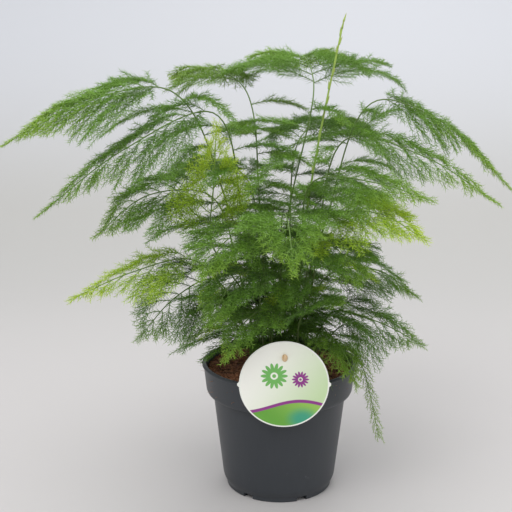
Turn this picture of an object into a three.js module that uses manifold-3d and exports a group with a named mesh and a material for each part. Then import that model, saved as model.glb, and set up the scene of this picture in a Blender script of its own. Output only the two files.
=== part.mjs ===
// Potted asparagus fern: a round nursery pot filled with soil, a round plant label on a stick,
// and arching fronds on wiry canes. Millimetres, +Z up, the middle of the pot's underside at the
// origin and the label on the -Y side.
import * as THREE from "three";
import { mergeVertices } from "three/addons/utils/BufferGeometryUtils.js";
import Module from "manifold-3d";

const wasm = await Module();
wasm.setup();

const GAP = 0.3; // between pieces that lie against each other
const WELD = 2e-4; // vertices closer than this are one

const POT = {
  sides: 34,
  height: 100,
  rimRadius: 60,
  lipWidth: 3.1,
  lipHeight: 2.4,
  lipStep: 1.1, // by which the lip stands out from the collar
  wall: 1.2,
  collarBottom: 76.5,
  collarRadius: 56.8,
  collarWall: 1.5,
  collarRound: 2.4, // the slope of the collar's lower edge
  bodyTopRadius: 51.65,
  bodyLowRadius: 43.85,
  bodyLow: 8,
  footRadius: 41.2,
  footHeight: 3,
  footEdge: 0.7,
  floor: 1.6,
};

// Drain notches round the foot, each roofed and with a hole up into the soil
const NOTCH = {
  count: 6,
  firstAngle: -66, // degrees from +X, so that two notches flank the front
  width: 8,
  height: 3.6,
  innerRadius: 33,
  outerRadius: 45.2,
  roof: 1.2,
  holeRadius: 2.2,
  holeAt: 37,
  holeSides: 8,
};

const SOIL = {
  sides: 20,
  footClear: 1.1,
  edgeDrop: 2.4,
  edgeHeight: 95.5,
  crownHeight: 97.4,
  rings: [51, 40, 28, 14],
  bump: 1.3,
  seed: 7,
  seedStep: 0.1, // places closer than this share a draw
  seedRow: 1009, // draws between rows of places
  holeSides: 5,
  holeTop: 102,
};

// The label's nubs stand out at its left and right edge
const LABEL = {
  radius: 32.5,
  thickness: 0.8,
  x: 2,
  back: -60.55,
  z: 102.5,
  sides: 36,
  nubLength: 1.3,
  nubHeight: 2.2,
};
const STICK = {
  radius: 2,
  dome: 2,
  point: 3,
  sides: 8,
  front: [2.3, -63.5, 125],
  buried: [3, -22.5, 84],
};
const STICK_HOLE = { clear: 0.4, before: 5, behind: 15 };

// Canes stand in the soil and arch over into flat plumes. A plume has side sprays, and a spray has
// twigs on both sides, each a slim spike. Pairs of numbers run from the root end to the tip.
const CANE = {
  sides: 4,
  radius: [0.95, 0.72],
  depth: 80, // height of the buried ends
  straightTop: 99, // a cane is straight up to here
  bendAt: 0.55, // share of its height at which it has leaned out by leanShare of its way
  leanShare: 0.35,
  crookKnot: 3, // the crook's number among the route's points
  stationTry: 4, // between the places where a ring may stand
  stationBend: 18, // degrees of bend after which a ring stands
  stationLongest: 48,
};
const SPRAY = {
  halfWidth: [0.5, 0.34],
  height: [0.85, 0.68],
  bare: 5, // beside the midrib
  lean: [62, 42], // degrees from the midrib
  turn: 14, // degrees by which it bends forward
  first: 0.03, // share of the plume's length
  last: 0.76,
  tipFrom: 0.78, // the plume's last spray follows the midrib from here
  tipSink: 2.5,
  tipSize: 0.55,
  tipShare: 0.4,
  fade: 0.8, // how much shorter the sprays are near the tip
  bow: 0.16, // how far the middle is raised, as a share of the droop
  bendShare: 0.3, // how much of a bend the middle takes part in
  varyLength: 0.12,
  varyLean: 0.08,
  varySag: 0.3,
  varyBow: 0.5,
  above: 0.6, // share of the rib's height above its line
};
const TWIG = {
  step: 8.6,
  spare: 0.6, // share of a step left bare at the rib's tip
  length: [17, 8],
  sweep: [40, 31], // degrees from the rib
  tilt: 0.34,
  least: 0.55,
  vary: 0.14,
};
const SEEDS = { each: 64, tip: 63 }; // draws kept for each frond, and its tip's number among them
const SHOOT = {
  sides: 4,
  radius: [1.1, 0.7],
  root: [8, -3],
  bend: [26, -6, 260],
  top: [45, -6, 360],
  tip: 7, // length of its pointed end
};
const SCALE_LEAF = { first: 60, step: 27, length: 6.5, radius: 1.5, sides: 3, stand: 0.4, lean: 12 };

const DEGREE = Math.PI / 180;
const GOLDEN_ANGLE = 137.5 * DEGREE;
const TONES = { dark: 0x3a6a26, mid: 0x568233, lime: 0x93b040, olive: 0x7f8a3c };

// The fronds' driving sizes. A frond has its root's place in the soil, the crook where its cane turns
// into the plume, and the plume's tip. arch is how far the plume's middle stands above a straight line,
// span the longest spray, droop how far that one's tip sags, and roll how far the plume leans about its
// own way. bends sets single sprays higher or lower to pass a neighbour. tipFrom and tipSize, where a
// frond has them, take the place of those in SPRAY.
const FRONDS = {
  frond_top_right: {
    tone: "mid", seed: 11, sprays: 10, span: 42, droop: 20, roll: -14,
    root: [14, 5], crook: [75, 15, 300], tip: [180, 25, 230], arch: 15,
  },
  frond_top_back: {
    tone: "mid", seed: 12, sprays: 9, span: 98, droop: 34,
    root: [-3, 8], crook: [25, 15, 310], tip: [15, 120, 320], arch: 15,
  },
  frond_top_left: {
    tone: "mid", seed: 13, sprays: 11, span: 60, droop: 20, roll: 12,
    root: [-11, 2], crook: [-85, -10, 310], tip: [-200, -30, 270], arch: 10,
  },
  frond_upper_left: {
    tone: "dark", seed: 14, sprays: 10, span: 50, droop: 20, roll: 18,
    root: [-15, -5], crook: [-50, -35, 295], tip: [-170, -60, 225], arch: 10,
  },
  frond_olive_back_left: {
    tone: "olive", seed: 15, sprays: 7, span: 50, droop: 24,
    root: [-7, 13], crook: [-30, 50, 310], tip: [-90, 120, 310], arch: 10,
  },
  frond_mid_back_right: {
    tone: "dark", seed: 61, sprays: 9, span: 74, droop: 34,
    root: [4, 14], crook: [15, 45, 265], tip: [65, 140, 260], arch: 15,
  },
  frond_upper_right: {
    tone: "mid", seed: 17, sprays: 9, span: 38, droop: 18, roll: -20,
    root: [15, -4], crook: [50, -15, 275], tip: [155, -40, 230], arch: 10, bends: { 0: 18 },
  },
  frond_mid_right: {
    tone: "mid", seed: 18, sprays: 7, span: 40, droop: 18, roll: -18,
    root: [10, -12], crook: [25, -50, 250], tip: [100, -85, 240], arch: 5,
  },
  frond_mid_left: {
    tone: "mid", seed: 19, sprays: 8, span: 52, droop: 20, roll: 26,
    root: [-19, 3], crook: [-55, -20, 235], tip: [-135, -35, 205], arch: 15,
  },
  frond_lime_left: {
    tone: "lime", seed: 20, sprays: 7, span: 36, droop: 12, roll: 18,
    root: [-20, -11], crook: [-65, -40, 190], tip: [-150, -60, 165], arch: 5,
  },
  frond_low_left: {
    tone: "dark", seed: 21, sprays: 7, span: 50, droop: 16, roll: 35,
    root: [-22, 9], crook: [-50, 0, 165], tip: [-105, -45, 130], arch: 10,
  },
  frond_lime_upright: {
    tone: "lime", seed: 22, sprays: 8, span: 34, droop: -6,
    root: [-12, -17], crook: [-50, -45, 205], tip: [-45, -60, 290], arch: 0,
  },
  frond_front: {
    tone: "mid", seed: 51, sprays: 8, span: 48, droop: 12,
    root: [0, -15], crook: [0, -60, 225], tip: [5, -150, 205], arch: 15,
  },
  frond_lime_right: {
    tone: "lime", seed: 24, sprays: 8, span: 40, droop: 16, roll: -16,
    root: [17, -13], crook: [35, -55, 225], tip: [95, -95, 215], arch: 10,
  },
  frond_low_right: {
    tone: "dark", seed: 25, sprays: 7, span: 42, droop: 16, roll: -22,
    root: [20, 5], crook: [35, 5, 165], tip: [110, 20, 145], arch: 15,
  },
  frond_lowest_right: {
    tone: "dark", seed: 26, sprays: 7, span: 36, droop: 16, roll: -24,
    root: [23, -5], crook: [40, -20, 145], tip: [105, -40, 125], arch: 5, bends: { 1: -8 },
  },
  frond_olive_rim: {
    tone: "olive", seed: 27, sprays: 6, span: 22, droop: 4,
    root: [25, -17], crook: [32, -30, 130], tip: [55, -60, 100], arch: 10,
  },
  branch_drooping_right: {
    tone: "olive", seed: 28, sprays: 0, span: 15, droop: 2, roll: 80, tipFrom: 0.1, tipSize: 0.9,
    root: [30, 2], crook: [50, -20, 135], tip: [75, -35, 50], arch: 10,
  },
  frond_drooping_front: {
    tone: "mid", seed: 29, sprays: 6, span: 28, droop: 4,
    root: [-5, -24], crook: [-10, -45, 155], tip: [-40, -75, 125], arch: 10,
  },
  frond_small_front: {
    tone: "dark", seed: 30, sprays: 5, span: 28, droop: 4,
    root: [11, -26], crook: [15, -50, 150], tip: [40, -70, 165], arch: 5,
  },
  frond_back_left: {
    tone: "dark", seed: 31, sprays: 7, span: 48, droop: 12,
    root: [-10, 21], crook: [-25, 45, 235], tip: [-100, 140, 190], arch: 30,
  },
  frond_back_right: {
    tone: "mid", seed: 32, sprays: 7, span: 46, droop: 12,
    root: [9, 21], crook: [30, 45, 215], tip: [105, 130, 175], arch: 25,
  },
  frond_low_back: {
    tone: "dark", seed: 33, sprays: 6, span: 44, droop: 10,
    root: [-1, 28], crook: [-5, 50, 165], tip: [5, 135, 130], arch: 25,
  },
  frond_front_left: {
    tone: "mid", seed: 34, sprays: 7, span: 40, droop: 10,
    root: [-7, -19], crook: [-20, -55, 215], tip: [-55, -100, 190], arch: 10,
  },
  frond_front_right: {
    tone: "dark", seed: 35, sprays: 7, span: 42, droop: 10,
    root: [12, -21], crook: [25, -50, 205], tip: [50, -100, 185], arch: 10,
  },
  frond_low_front_left: {
    tone: "dark", seed: 41, sprays: 7, span: 36, droop: 8,
    root: [-12, -24], crook: [-20, -50, 185], tip: [-50, -90, 155], arch: 10,
  },
};

const vector = (point) => new THREE.Vector3(...point);
const mix = ([from, to], t) => from + (to - from) * t;
const along = (point, way, distance) => point.clone().addScaledVector(way, distance);
const vary = (random, width) => 1 + width * (2 * random() - 1);

// Seeded draws from 0 to 1
function draws(seed) {
  let state = seed >>> 0;
  return () => {
    state = (state + 0x6d2b79f5) >>> 0;
    let t = Math.imul(state ^ (state >>> 15), state | 1);
    t ^= t + Math.imul(t ^ (t >>> 7), t | 61);
    return ((t ^ (t >>> 14)) >>> 0) / 4294967296;
  };
}

// A closed geometry with its shared vertices merged and no flat triangle left
function welded(geometry) {
  geometry.deleteAttribute("normal");
  geometry.deleteAttribute("uv");
  const merged = mergeVertices(geometry, WELD);
  const triangles = [];
  for (let i = 0; i < merged.index.count; i += 3) {
    const [a, b, c] = merged.index.array.slice(i, i + 3);
    if (a !== b && b !== c && c !== a) triangles.push(a, b, c);
  }
  return merged.setIndex(triangles);
}

// A closed geometry as a solid for joins and cuts
function solid(geometry) {
  const { attributes, index } = welded(geometry);
  return new wasm.Manifold(new wasm.Mesh({
    numProp: 3,
    vertProperties: new Float32Array(attributes.position.array),
    triVerts: new Uint32Array(index.array),
  }));
}

function solidOf(points, triangles) {
  const geometry = new THREE.BufferGeometry().setFromPoints(points);
  geometry.setIndex(triangles.flat());
  return solid(geometry);
}

// A closed loft through rings of points, each ring turning left about the way forward
function loft(rings, tip = null) {
  const n = rings[0].length;
  const points = rings.flat();
  const triangles = [];
  for (let i = 0; i + 1 < rings.length; i++) {
    for (let j = 0; j < n; j++) {
      const a = i * n + j, b = i * n + ((j + 1) % n);
      triangles.push([a, b, b + n], [a, b + n, a + n]);
    }
  }
  for (let j = 1; j + 1 < n; j++) triangles.push([0, j + 1, j]);
  const last = points.length - n;
  if (tip) points.push(tip);
  for (let j = 0; j < n; j++) {
    if (tip) triangles.push([last + j, last + ((j + 1) % n), points.length - 1]);
    else if (j > 0 && j + 1 < n) triangles.push([last, last + j, last + j + 1]);
  }
  return solidOf(points, triangles);
}

// A ring of points round a place, in the plane of its side and up directions
function ring(place, radius, sides, shift) {
  return Array.from({ length: sides }, (_, j) => {
    const angle = (2 * Math.PI * (j + shift)) / sides;
    const raised = along(place.point, place.up, radius * Math.cos(angle));
    return along(raised, place.side, radius * Math.sin(angle));
  });
}

// A lathe about Z. The profile's [radius, z] points run from the axis round to the axis.
function lathe(profile, sides) {
  const points = profile.map(([radius, z]) => new THREE.Vector2(radius, z));
  return new THREE.LatheGeometry(points, sides).rotateX(Math.PI / 2);
}

// A geometry that was made upright along Y from the origin, set to run from one point to another
function aim(geometry, from, to) {
  const turn = new THREE.Quaternion().setFromUnitVectors(
    new THREE.Vector3(0, 1, 0), to.clone().sub(from).normalize(),
  );
  return geometry.applyQuaternion(turn).translate(from.x, from.y, from.z);
}

function rod(from, to, radius, sides) {
  const length = from.distanceTo(to);
  const geometry = new THREE.CylinderGeometry(radius, radius, length, sides);
  return solid(aim(geometry.translate(0, length / 2, 0), from, to));
}

// The roofed bosses of the drain notches, wider all round by a margin
function notchBosses(margin) {
  const inner = NOTCH.innerRadius - NOTCH.roof - margin;
  const outer = NOTCH.outerRadius + margin;
  const width = NOTCH.width + 2 * (NOTCH.roof + margin);
  const top = NOTCH.height + NOTCH.roof + margin;
  const bottom = POT.floor / 4;
  return wasm.Manifold.union(notchTurns().map((turn) => (
    radialBox([inner, outer], width, [bottom, top], turn)
  )));
}

function notchTurns() {
  return Array.from({ length: NOTCH.count }, (_, i) => (
    NOTCH.firstAngle * DEGREE + (2 * Math.PI * i) / NOTCH.count
  ));
}

// A box between two radii and two heights, turned about Z
function radialBox([inner, outer], width, [bottom, top], turn) {
  const geometry = new THREE.BoxGeometry(outer - inner, width, top - bottom);
  return solid(geometry.translate((inner + outer) / 2, 0, (bottom + top) / 2).rotateZ(turn));
}

// The pot: a tapering wall with a collar and a rolled lip, and drain notches round its foot
function pot() {
  const p = POT;
  const innerTop = p.bodyTopRadius - p.wall;
  const innerLow = p.bodyLowRadius - p.wall;
  const shell = solid(lathe([
    [0, 0],
    [p.footRadius - p.footEdge, 0],
    [p.footRadius, p.footEdge],
    [p.footRadius, p.footHeight],
    [p.bodyLowRadius, p.bodyLow],
    [p.bodyTopRadius, p.collarBottom],
    [p.collarRadius - p.collarRound / 2, p.collarBottom],
    [p.collarRadius, p.collarBottom + p.collarRound],
    [p.rimRadius - p.lipStep, p.height - p.lipHeight],
    [p.rimRadius, p.height - p.lipHeight + p.lipStep],
    [p.rimRadius, p.height - p.lipStep],
    [p.rimRadius - p.lipStep, p.height],
    [p.rimRadius - p.lipWidth, p.height],
    [p.collarRadius - p.collarWall, p.collarBottom + p.collarRound],
    [innerTop, p.collarBottom],
    [innerLow, p.bodyLow],
    [p.footRadius - p.wall, p.floor],
    [0, p.floor],
  ], p.sides));
  const inMidWall = solid(lathe([
    [0, p.floor / 2],
    [p.footRadius - p.wall / 2, p.floor / 2],
    [p.bodyLowRadius - p.wall / 2, p.bodyLow],
    [0, p.bodyLow],
  ], p.sides));
  const cuts = notchTurns().flatMap((turn) => {
    const below = new THREE.Vector3(NOTCH.holeAt * Math.cos(turn), NOTCH.holeAt * Math.sin(turn), 0);
    return [
      radialBox([NOTCH.innerRadius, NOTCH.outerRadius], NOTCH.width, [-1, NOTCH.height], turn),
      rod(below, below.clone().setZ(p.bodyLow), NOTCH.holeRadius, NOTCH.holeSides),
    ];
  });
  return shell.add(notchBosses(0).intersect(inMidWall)).subtract(wasm.Manifold.union(cuts));
}

// The soil fills the pot to a little below the rim. Canes and the stick stand in plain holes.
function soil() {
  const collarInner = POT.collarRadius - POT.collarWall;
  const collarStart = POT.collarBottom + POT.collarRound + GAP;
  const dome = SOIL.rings.map((radius) => [
    radius, mix([SOIL.edgeHeight, SOIL.crownHeight], 1 - radius / SOIL.rings[0]),
  ]);
  const geometry = lathe([
    [0, POT.floor + GAP],
    [POT.footRadius - POT.wall - SOIL.footClear, POT.floor + GAP],
    [POT.bodyLowRadius - POT.wall - GAP, POT.bodyLow + GAP],
    [POT.bodyTopRadius - POT.wall - GAP, POT.collarBottom + GAP],
    [collarInner - GAP, collarStart + GAP],
    [collarInner, SOIL.edgeHeight - SOIL.edgeDrop],
    ...dome,
    [0, SOIL.crownHeight],
  ], SOIL.sides);
  roughen(geometry, SOIL.edgeHeight - SOIL.bump / 2);
  const holes = Object.values(FRONDS).map(({ root }) => rootHole(root, CANE.radius[0]));
  holes.push(rootHole(SHOOT.root, SHOOT.radius[0]));
  holes.push(stickHole(0, vector(STICK.front).distanceTo(vector(STICK.buried)) + GAP));
  return solid(geometry).subtract(wasm.Manifold.union(holes)).subtract(notchBosses(GAP));
}

// Raises and lowers each vertex above a height by a draw for its place
function roughen(geometry, above) {
  const position = geometry.attributes.position;
  for (let i = 0; i < position.count; i++) {
    if (position.getZ(i) < above) continue;
    const column = Math.round(position.getX(i) / SOIL.seedStep);
    const row = Math.round(position.getY(i) / SOIL.seedStep);
    const random = draws(SOIL.seed + column * SOIL.seedRow + row);
    position.setZ(i, position.getZ(i) + SOIL.bump * (2 * random() - 1));
  }
}

function rootHole([x, y], radius) {
  const clear = (radius + GAP) / Math.cos(Math.PI / SOIL.holeSides);
  const bottom = new THREE.Vector3(x, y, CANE.depth - GAP);
  return rod(bottom, bottom.clone().setZ(SOIL.holeTop), clear, SOIL.holeSides);
}

// The label: a thin disc with a nub at either side and a hole for the stick
function label() {
  const { radius, thickness, x, back, z } = LABEL;
  const across = 2 * (radius + LABEL.nubLength);
  const disc = new THREE.CylinderGeometry(radius, radius, thickness, LABEL.sides);
  const nubs = new THREE.BoxGeometry(across, thickness, LABEL.nubHeight);
  return solid(disc.translate(x, back - thickness / 2, z))
    .add(solid(nubs.translate(x, back - thickness / 2, z)))
    .subtract(stickHole(-STICK_HOLE.before, STICK_HOLE.behind));
}

// A straight hole round the stick, between two distances from its front end
function stickHole(from, to) {
  const [front, buried] = [vector(STICK.front), vector(STICK.buried)];
  const way = buried.clone().sub(front).normalize();
  const radius = STICK.radius + STICK_HOLE.clear;
  return rod(along(front, way, from), along(front, way, to), radius, STICK.sides);
}

// The stick: round, with a domed front end and a pointed buried end
function stick() {
  const [front, buried] = [vector(STICK.front), vector(STICK.buried)];
  const length = front.distanceTo(buried);
  const r = STICK.radius;
  const profile = [[0, 0], [r / 2, 0], [r, STICK.dome], [r, length - STICK.point], [0, length]];
  const points = profile.map(([radius, y]) => new THREE.Vector2(radius, y));
  return solid(aim(new THREE.LatheGeometry(points, STICK.sides), front, buried));
}

// A smooth path through points, read by the distance along it
class Path {
  static steps = 24; // between knots, when its length is measured
  static look = 3; // how far ahead and behind its direction is taken

  constructor(knots) {
    this.curve = new THREE.CatmullRomCurve3(knots, false, "chordal");
    this.curve.arcLengthDivisions = Path.steps * (knots.length - 1);
    this.lengths = this.curve.getLengths();
    this.length = this.lengths.at(-1);
  }

  knot(i) {
    return this.lengths[Path.steps * i];
  }

  point(s) {
    return this.curve.getPointAt(THREE.MathUtils.clamp(s / this.length, 0, 1));
  }

  // The place's point and its directions: forward, to the side and up from the plume's plane
  place(s, heading, roll) {
    const forward = this.point(s + Path.look).sub(this.point(s - Path.look)).normalize();
    const side = new THREE.Vector3(Math.sin(heading), -Math.cos(heading), 0);
    side.addScaledVector(forward, -side.dot(forward)).normalize();
    side.applyAxisAngle(forward, -roll);
    return { point: this.point(s), forward, side, up: side.clone().cross(forward) };
  }
}

// The places of a cane's rings: closer where it bends
function stations(path, from, to) {
  const forward = (s) => path.place(s, 0, 0).forward;
  const places = [from];
  for (let s = from + CANE.stationTry; s < to - CANE.stationTry; s += CANE.stationTry) {
    const last = places.at(-1);
    const bent = forward(s).angleTo(forward(last)) > CANE.stationBend * DEGREE;
    if (bent || s - last > CANE.stationLongest) places.push(s);
  }
  return [...places, to];
}

// The point on the straight length between two rings
function onChord(path, places, s) {
  const i = Math.max(1, places.findIndex((place) => place >= s));
  const t = (s - places[i - 1]) / (places[i] - places[i - 1]);
  return path.point(places[i - 1]).lerp(path.point(places[i]), t);
}

// Twigs in pairs along a slim three-sided rib. curve(q) gives the rib's place for q from 0 to 1.
function comb(curve, length, bare, size, random) {
  const pairs = Math.max(1, Math.round((length - bare) / TWIG.step));
  const stops = [0];
  for (let i = 0; i <= pairs; i++) {
    stops.push((bare + ((length - bare) * i) / (pairs + TWIG.spare)) / length);
  }
  const points = stops.flatMap((q) => {
    const { point, side, up } = curve(q);
    const w = mix(SPRAY.halfWidth, q), h = mix(SPRAY.height, q);
    const low = along(point, up, (SPRAY.above - 1) * h);
    return [along(point, up, SPRAY.above * h), along(low, side, w), along(low, side, -w)];
  });
  const triangles = [[0, 2, 1]];
  const quad = (a, b) => triangles.push([a, b, b + 3], [a, b + 3, a + 3]);
  const spike = (a, b, tip) => {
    points.push(tip);
    const t = points.length - 1;
    triangles.push([a, b, t], [b, b + 3, t], [b + 3, a + 3, t], [a + 3, a, t]);
  };
  for (let i = 0; i <= pairs; i++) {
    const [top, right, left] = [3 * i, 3 * i + 1, 3 * i + 2];
    quad(right, left);
    if (i === 0) {
      quad(top, right);
      quad(left, top);
      continue;
    }
    const q = (stops[i] + stops[i + 1]) / 2;
    const { forward, side, up } = curve(q);
    const from = curve(stops[i + 1]).point;
    for (const hand of [1, -1]) {
      const reach = mix(TWIG.length, q) * size * vary(random, TWIG.vary);
      const sweep = mix(TWIG.sweep, q) * DEGREE * vary(random, TWIG.vary);
      const tip = along(from, forward, reach * Math.cos(sweep))
        .addScaledVector(side, reach * hand * Math.sin(sweep))
        .addScaledVector(up, reach * TWIG.tilt * (2 * random() - 1));
      if (hand > 0) spike(top, right, tip);
      else spike(left, top, tip);
    }
  }
  const end = 3 * (pairs + 1);
  points.push(curve(1).point);
  for (let j = 0; j < 3; j++) triangles.push([end + j, end + ((j + 1) % 3), points.length - 1]);
  return solidOf(points, triangles);
}

// A stem's straight foot in the soil
const foot = ([x, y]) => [vector([x, y, CANE.depth]), vector([x, y, CANE.straightTop])];

// A frond's route: the cane rises, then leans out to the crook, and the plume arches over to its tip
function route(spec) {
  const [bottom, surface] = foot(spec.root);
  const crook = vector(spec.crook), tip = vector(spec.tip);
  const bend = surface.clone().lerp(crook, CANE.leanShare);
  bend.z = mix([surface.z, crook.z], CANE.bendAt);
  const middle = crook.clone().lerp(tip, 0.5);
  middle.z += spec.arch;
  return [bottom, surface, bend, crook, middle, tip];
}

// A frond: a wiry cane that arches over into a flat plume of sprays, one body
function frond(spec) {
  const path = new Path(route(spec));
  const heading = Math.atan2(spec.tip[1] - spec.crook[1], spec.tip[0] - spec.crook[0]);
  const roll = (spec.roll ?? 0) * DEGREE;
  const start = path.knot(CANE.crookKnot);
  const last = mix([start, path.length], spec.tipFrom ?? SPRAY.tipFrom);
  const places = [0, ...stations(path, path.knot(1), last)];
  const bodies = [loft(places.map((s) => (
    ring(path.place(s, heading, roll), mix(CANE.radius, s / last), CANE.sides, 0.5)
  )))];
  for (let k = 0; k < spec.sprays; k++) {
    const share = k / (spec.sprays - 1);
    const s = mix([start, path.length], mix([SPRAY.first, SPRAY.last], share));
    const root = { ...path.place(s, heading, roll), point: onChord(path, places, s) };
    bodies.push(spray(spec, k, share, root));
  }
  const rest = path.length - last + SPRAY.tipSink;
  const curve = (q) => {
    const s = last - SPRAY.tipSink + rest * q;
    return { ...path.place(Math.min(s, path.length - 1), heading, roll), point: path.point(s) };
  };
  const size = (spec.tipSize ?? SPRAY.tipSize) * mix([TWIG.least, 1], SPRAY.tipShare);
  bodies.push(comb(curve, rest, SPRAY.bare, size, draws(spec.seed * SEEDS.each + SEEDS.tip)));
  return wasm.Manifold.union(bodies);
}

// One side spray of a plume. Its tip sags, and bends sets it higher or lower to clear a neighbour.
function spray(spec, k, share, root) {
  const random = draws(spec.seed * SEEDS.each + k);
  const size = 1 - SPRAY.fade * share;
  const length = spec.span * size * vary(random, SPRAY.varyLength);
  const lean = mix(SPRAY.lean, share) * DEGREE * vary(random, SPRAY.varyLean);
  const hand = k % 2 ? -1 : 1;
  const bend = spec.bends?.[k] ?? 0;
  const sag = spec.droop * size * size * vary(random, SPRAY.varySag);
  const bow = spec.droop * SPRAY.bow * vary(random, SPRAY.varyBow);
  const reach = (angle, distance, rise) => along(root.point, root.forward, distance * Math.cos(angle))
    .addScaledVector(root.side, distance * hand * Math.sin(angle))
    .add(new THREE.Vector3(0, 0, rise));
  const middle = reach(lean, length / 2, bow + SPRAY.bendShare * bend);
  const end = reach(lean - SPRAY.turn * DEGREE, length, bend - sag);
  const bezier = new THREE.QuadraticBezierCurve3(root.point, middle, end);
  const curve = (q) => {
    const forward = bezier.getTangent(q);
    const side = forward.clone().cross(root.up).normalize();
    return { point: bezier.getPoint(q), forward, side, up: side.clone().cross(forward) };
  };
  return comb(curve, length, SPRAY.bare, mix([TWIG.least, 1], size), random);
}

// The new shoot: an upright cane that still carries only scale leaves
function shoot() {
  const path = new Path([...foot(SHOOT.root), vector(SHOOT.bend), vector(SHOOT.top)]);
  const radius = (s) => mix(SHOOT.radius, s / path.length);
  const places = [0, ...stations(path, path.knot(1), path.length - SHOOT.tip)];
  const rings = places.map((s) => ring(path.place(s, 0, 0), radius(s), SHOOT.sides, 0));
  const bodies = [loft(rings, path.point(path.length))];
  const lean = SCALE_LEAF.lean * DEGREE;
  for (let i = 0; SCALE_LEAF.first + i * SCALE_LEAF.step < path.length - SHOOT.tip; i++) {
    const s = SCALE_LEAF.first + i * SCALE_LEAF.step;
    const { point, forward, side } = path.place(s, 0, 0);
    const out = side.clone().applyAxisAngle(forward, i * GOLDEN_ANGLE);
    const foot = along(point, out, SCALE_LEAF.stand);
    const ahead = along(foot, forward, Math.cos(lean)).addScaledVector(out, Math.sin(lean));
    const leaf = new THREE.ConeGeometry(SCALE_LEAF.radius, SCALE_LEAF.length, SCALE_LEAF.sides);
    bodies.push(solid(aim(leaf.translate(0, SCALE_LEAF.length / 2, 0), foot, ahead)));
  }
  return wasm.Manifold.union(bodies);
}

function mesh(name, body, color, roughness) {
  const { vertProperties, triVerts } = body.getMesh();
  const joined = new THREE.BufferGeometry();
  joined.setAttribute("position", new THREE.BufferAttribute(new Float32Array(vertProperties), 3));
  joined.setIndex(Array.from(triVerts));
  const geometry = welded(joined);
  geometry.computeVertexNormals();
  const piece = new THREE.Mesh(geometry, new THREE.MeshStandardMaterial({ color, roughness }));
  piece.name = name;
  return piece;
}

const plant = new THREE.Group();
plant.name = "potted_asparagus_fern";
plant.add(mesh("pot", pot(), 0x3e4246, 0.5));
plant.add(mesh("soil", soil(), 0x5c3a2a, 0.95));
plant.add(mesh("plant_label", label(), 0xcfe3c2, 0.35));
plant.add(mesh("label_stick", stick(), 0xe2d7b8, 0.6));
plant.add(mesh("new_shoot", shoot(), 0x8ca046, 0.6));
for (const [name, spec] of Object.entries(FRONDS)) {
  plant.add(mesh(name, frond(spec), TONES[spec.tone], 0.7));
}

export default plant;
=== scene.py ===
"""A potted asparagus fern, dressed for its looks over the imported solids.

Metres, +Z up, the middle of the pot's underside at the origin and the label on the -Y side. Sizes of
the plant, the pot, the label and the finishes are held in millimetres and turned to metres where
meshes and nodes are made.
"""
import logging
import math
from collections.abc import Callable, Iterator, Mapping, Sequence
from dataclasses import dataclass, field, replace
from enum import Enum
from functools import cached_property
from typing import Any

import bmesh
import bpy
import numpy as np
from bmesh.types import BMesh, BMVert
from bpy.types import ID, Curve, Material, Mesh, Node, NodeSocket, NodeTree, Object
from mathutils import Matrix, Vector, noise


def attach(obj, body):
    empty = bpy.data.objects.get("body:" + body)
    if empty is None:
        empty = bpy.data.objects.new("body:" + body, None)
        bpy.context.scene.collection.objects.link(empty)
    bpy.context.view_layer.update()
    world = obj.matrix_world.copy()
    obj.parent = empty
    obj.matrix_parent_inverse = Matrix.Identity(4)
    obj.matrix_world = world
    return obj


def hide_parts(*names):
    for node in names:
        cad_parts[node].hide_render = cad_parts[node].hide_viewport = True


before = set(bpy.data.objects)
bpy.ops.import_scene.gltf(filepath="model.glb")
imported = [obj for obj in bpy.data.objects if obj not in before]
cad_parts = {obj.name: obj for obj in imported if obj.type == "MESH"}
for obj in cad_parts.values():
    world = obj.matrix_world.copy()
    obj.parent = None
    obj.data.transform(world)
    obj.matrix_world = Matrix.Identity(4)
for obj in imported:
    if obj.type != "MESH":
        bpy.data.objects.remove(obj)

LOG = logging.getLogger("asparagus_fern")
MM = 0.001
GOLDEN_ANGLE = math.radians(137.5)
ROUNDING_POINTS = 5
UP = (0.0, 0.0, 1.0)

Pair = tuple[float, float]
Point = tuple[float, float, float]
Colour = tuple[float, float, float, float]
Draw = Callable[[], float]
Inputs = Mapping[str | int, Any]


def rgb(red: int, green: int, blue: int) -> Colour:
    """Turns a screen colour of 0 to 255 into the shader's linear colour, by the sRGB curve."""
    shares = [channel / 255 for channel in (red, green, blue)]
    return (*(s / 12.92 if s <= 0.04045 else ((s + 0.055) / 1.055) ** 2.4 for s in shares), 1.0)


class Wire:
    """A node's output socket that takes part in Python expressions."""

    def __init__(self, graph: "Graph", socket: NodeSocket) -> None:
        """Holds the socket and the graph that it is part of."""
        self.graph = graph
        self.socket = socket

    def math(self, operation: str, *values: "Wire | float") -> "Wire":
        """Adds a Math node of this wire and up to two more values, and gives its result."""
        inputs = dict(enumerate((self, *values)))
        return self.graph.wire("ShaderNodeMath", inputs, operation=operation)

    def __add__(self, other: "Wire | float") -> "Wire":
        """Adds a value."""
        return self.math("ADD", other)

    def __sub__(self, other: "Wire | float") -> "Wire":
        """Takes a value away."""
        return self.math("SUBTRACT", other)

    def __mul__(self, other: "Wire | float") -> "Wire":
        """Multiplies by a value."""
        return self.math("MULTIPLY", other)

    def __truediv__(self, other: "Wire | float") -> "Wire":
        """Divides by a value."""
        return self.math("DIVIDE", other)

    __radd__ = __add__
    __rmul__ = __mul__

    def length_with(self, other: "Wire") -> "Wire":
        """Gives the length of the two wires as sides at a right angle."""
        return (self * self + other * other).math("SQRT")

    def ramp(self, low: float, high: float) -> "Wire":
        """Rises smoothly from 0 at low to 1 at high, or falls where high is the smaller."""
        inputs = {"Value": self, "From Min": low, "From Max": high}
        return self.graph.wire("ShaderNodeMapRange", inputs, interpolation_type="SMOOTHSTEP")


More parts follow.
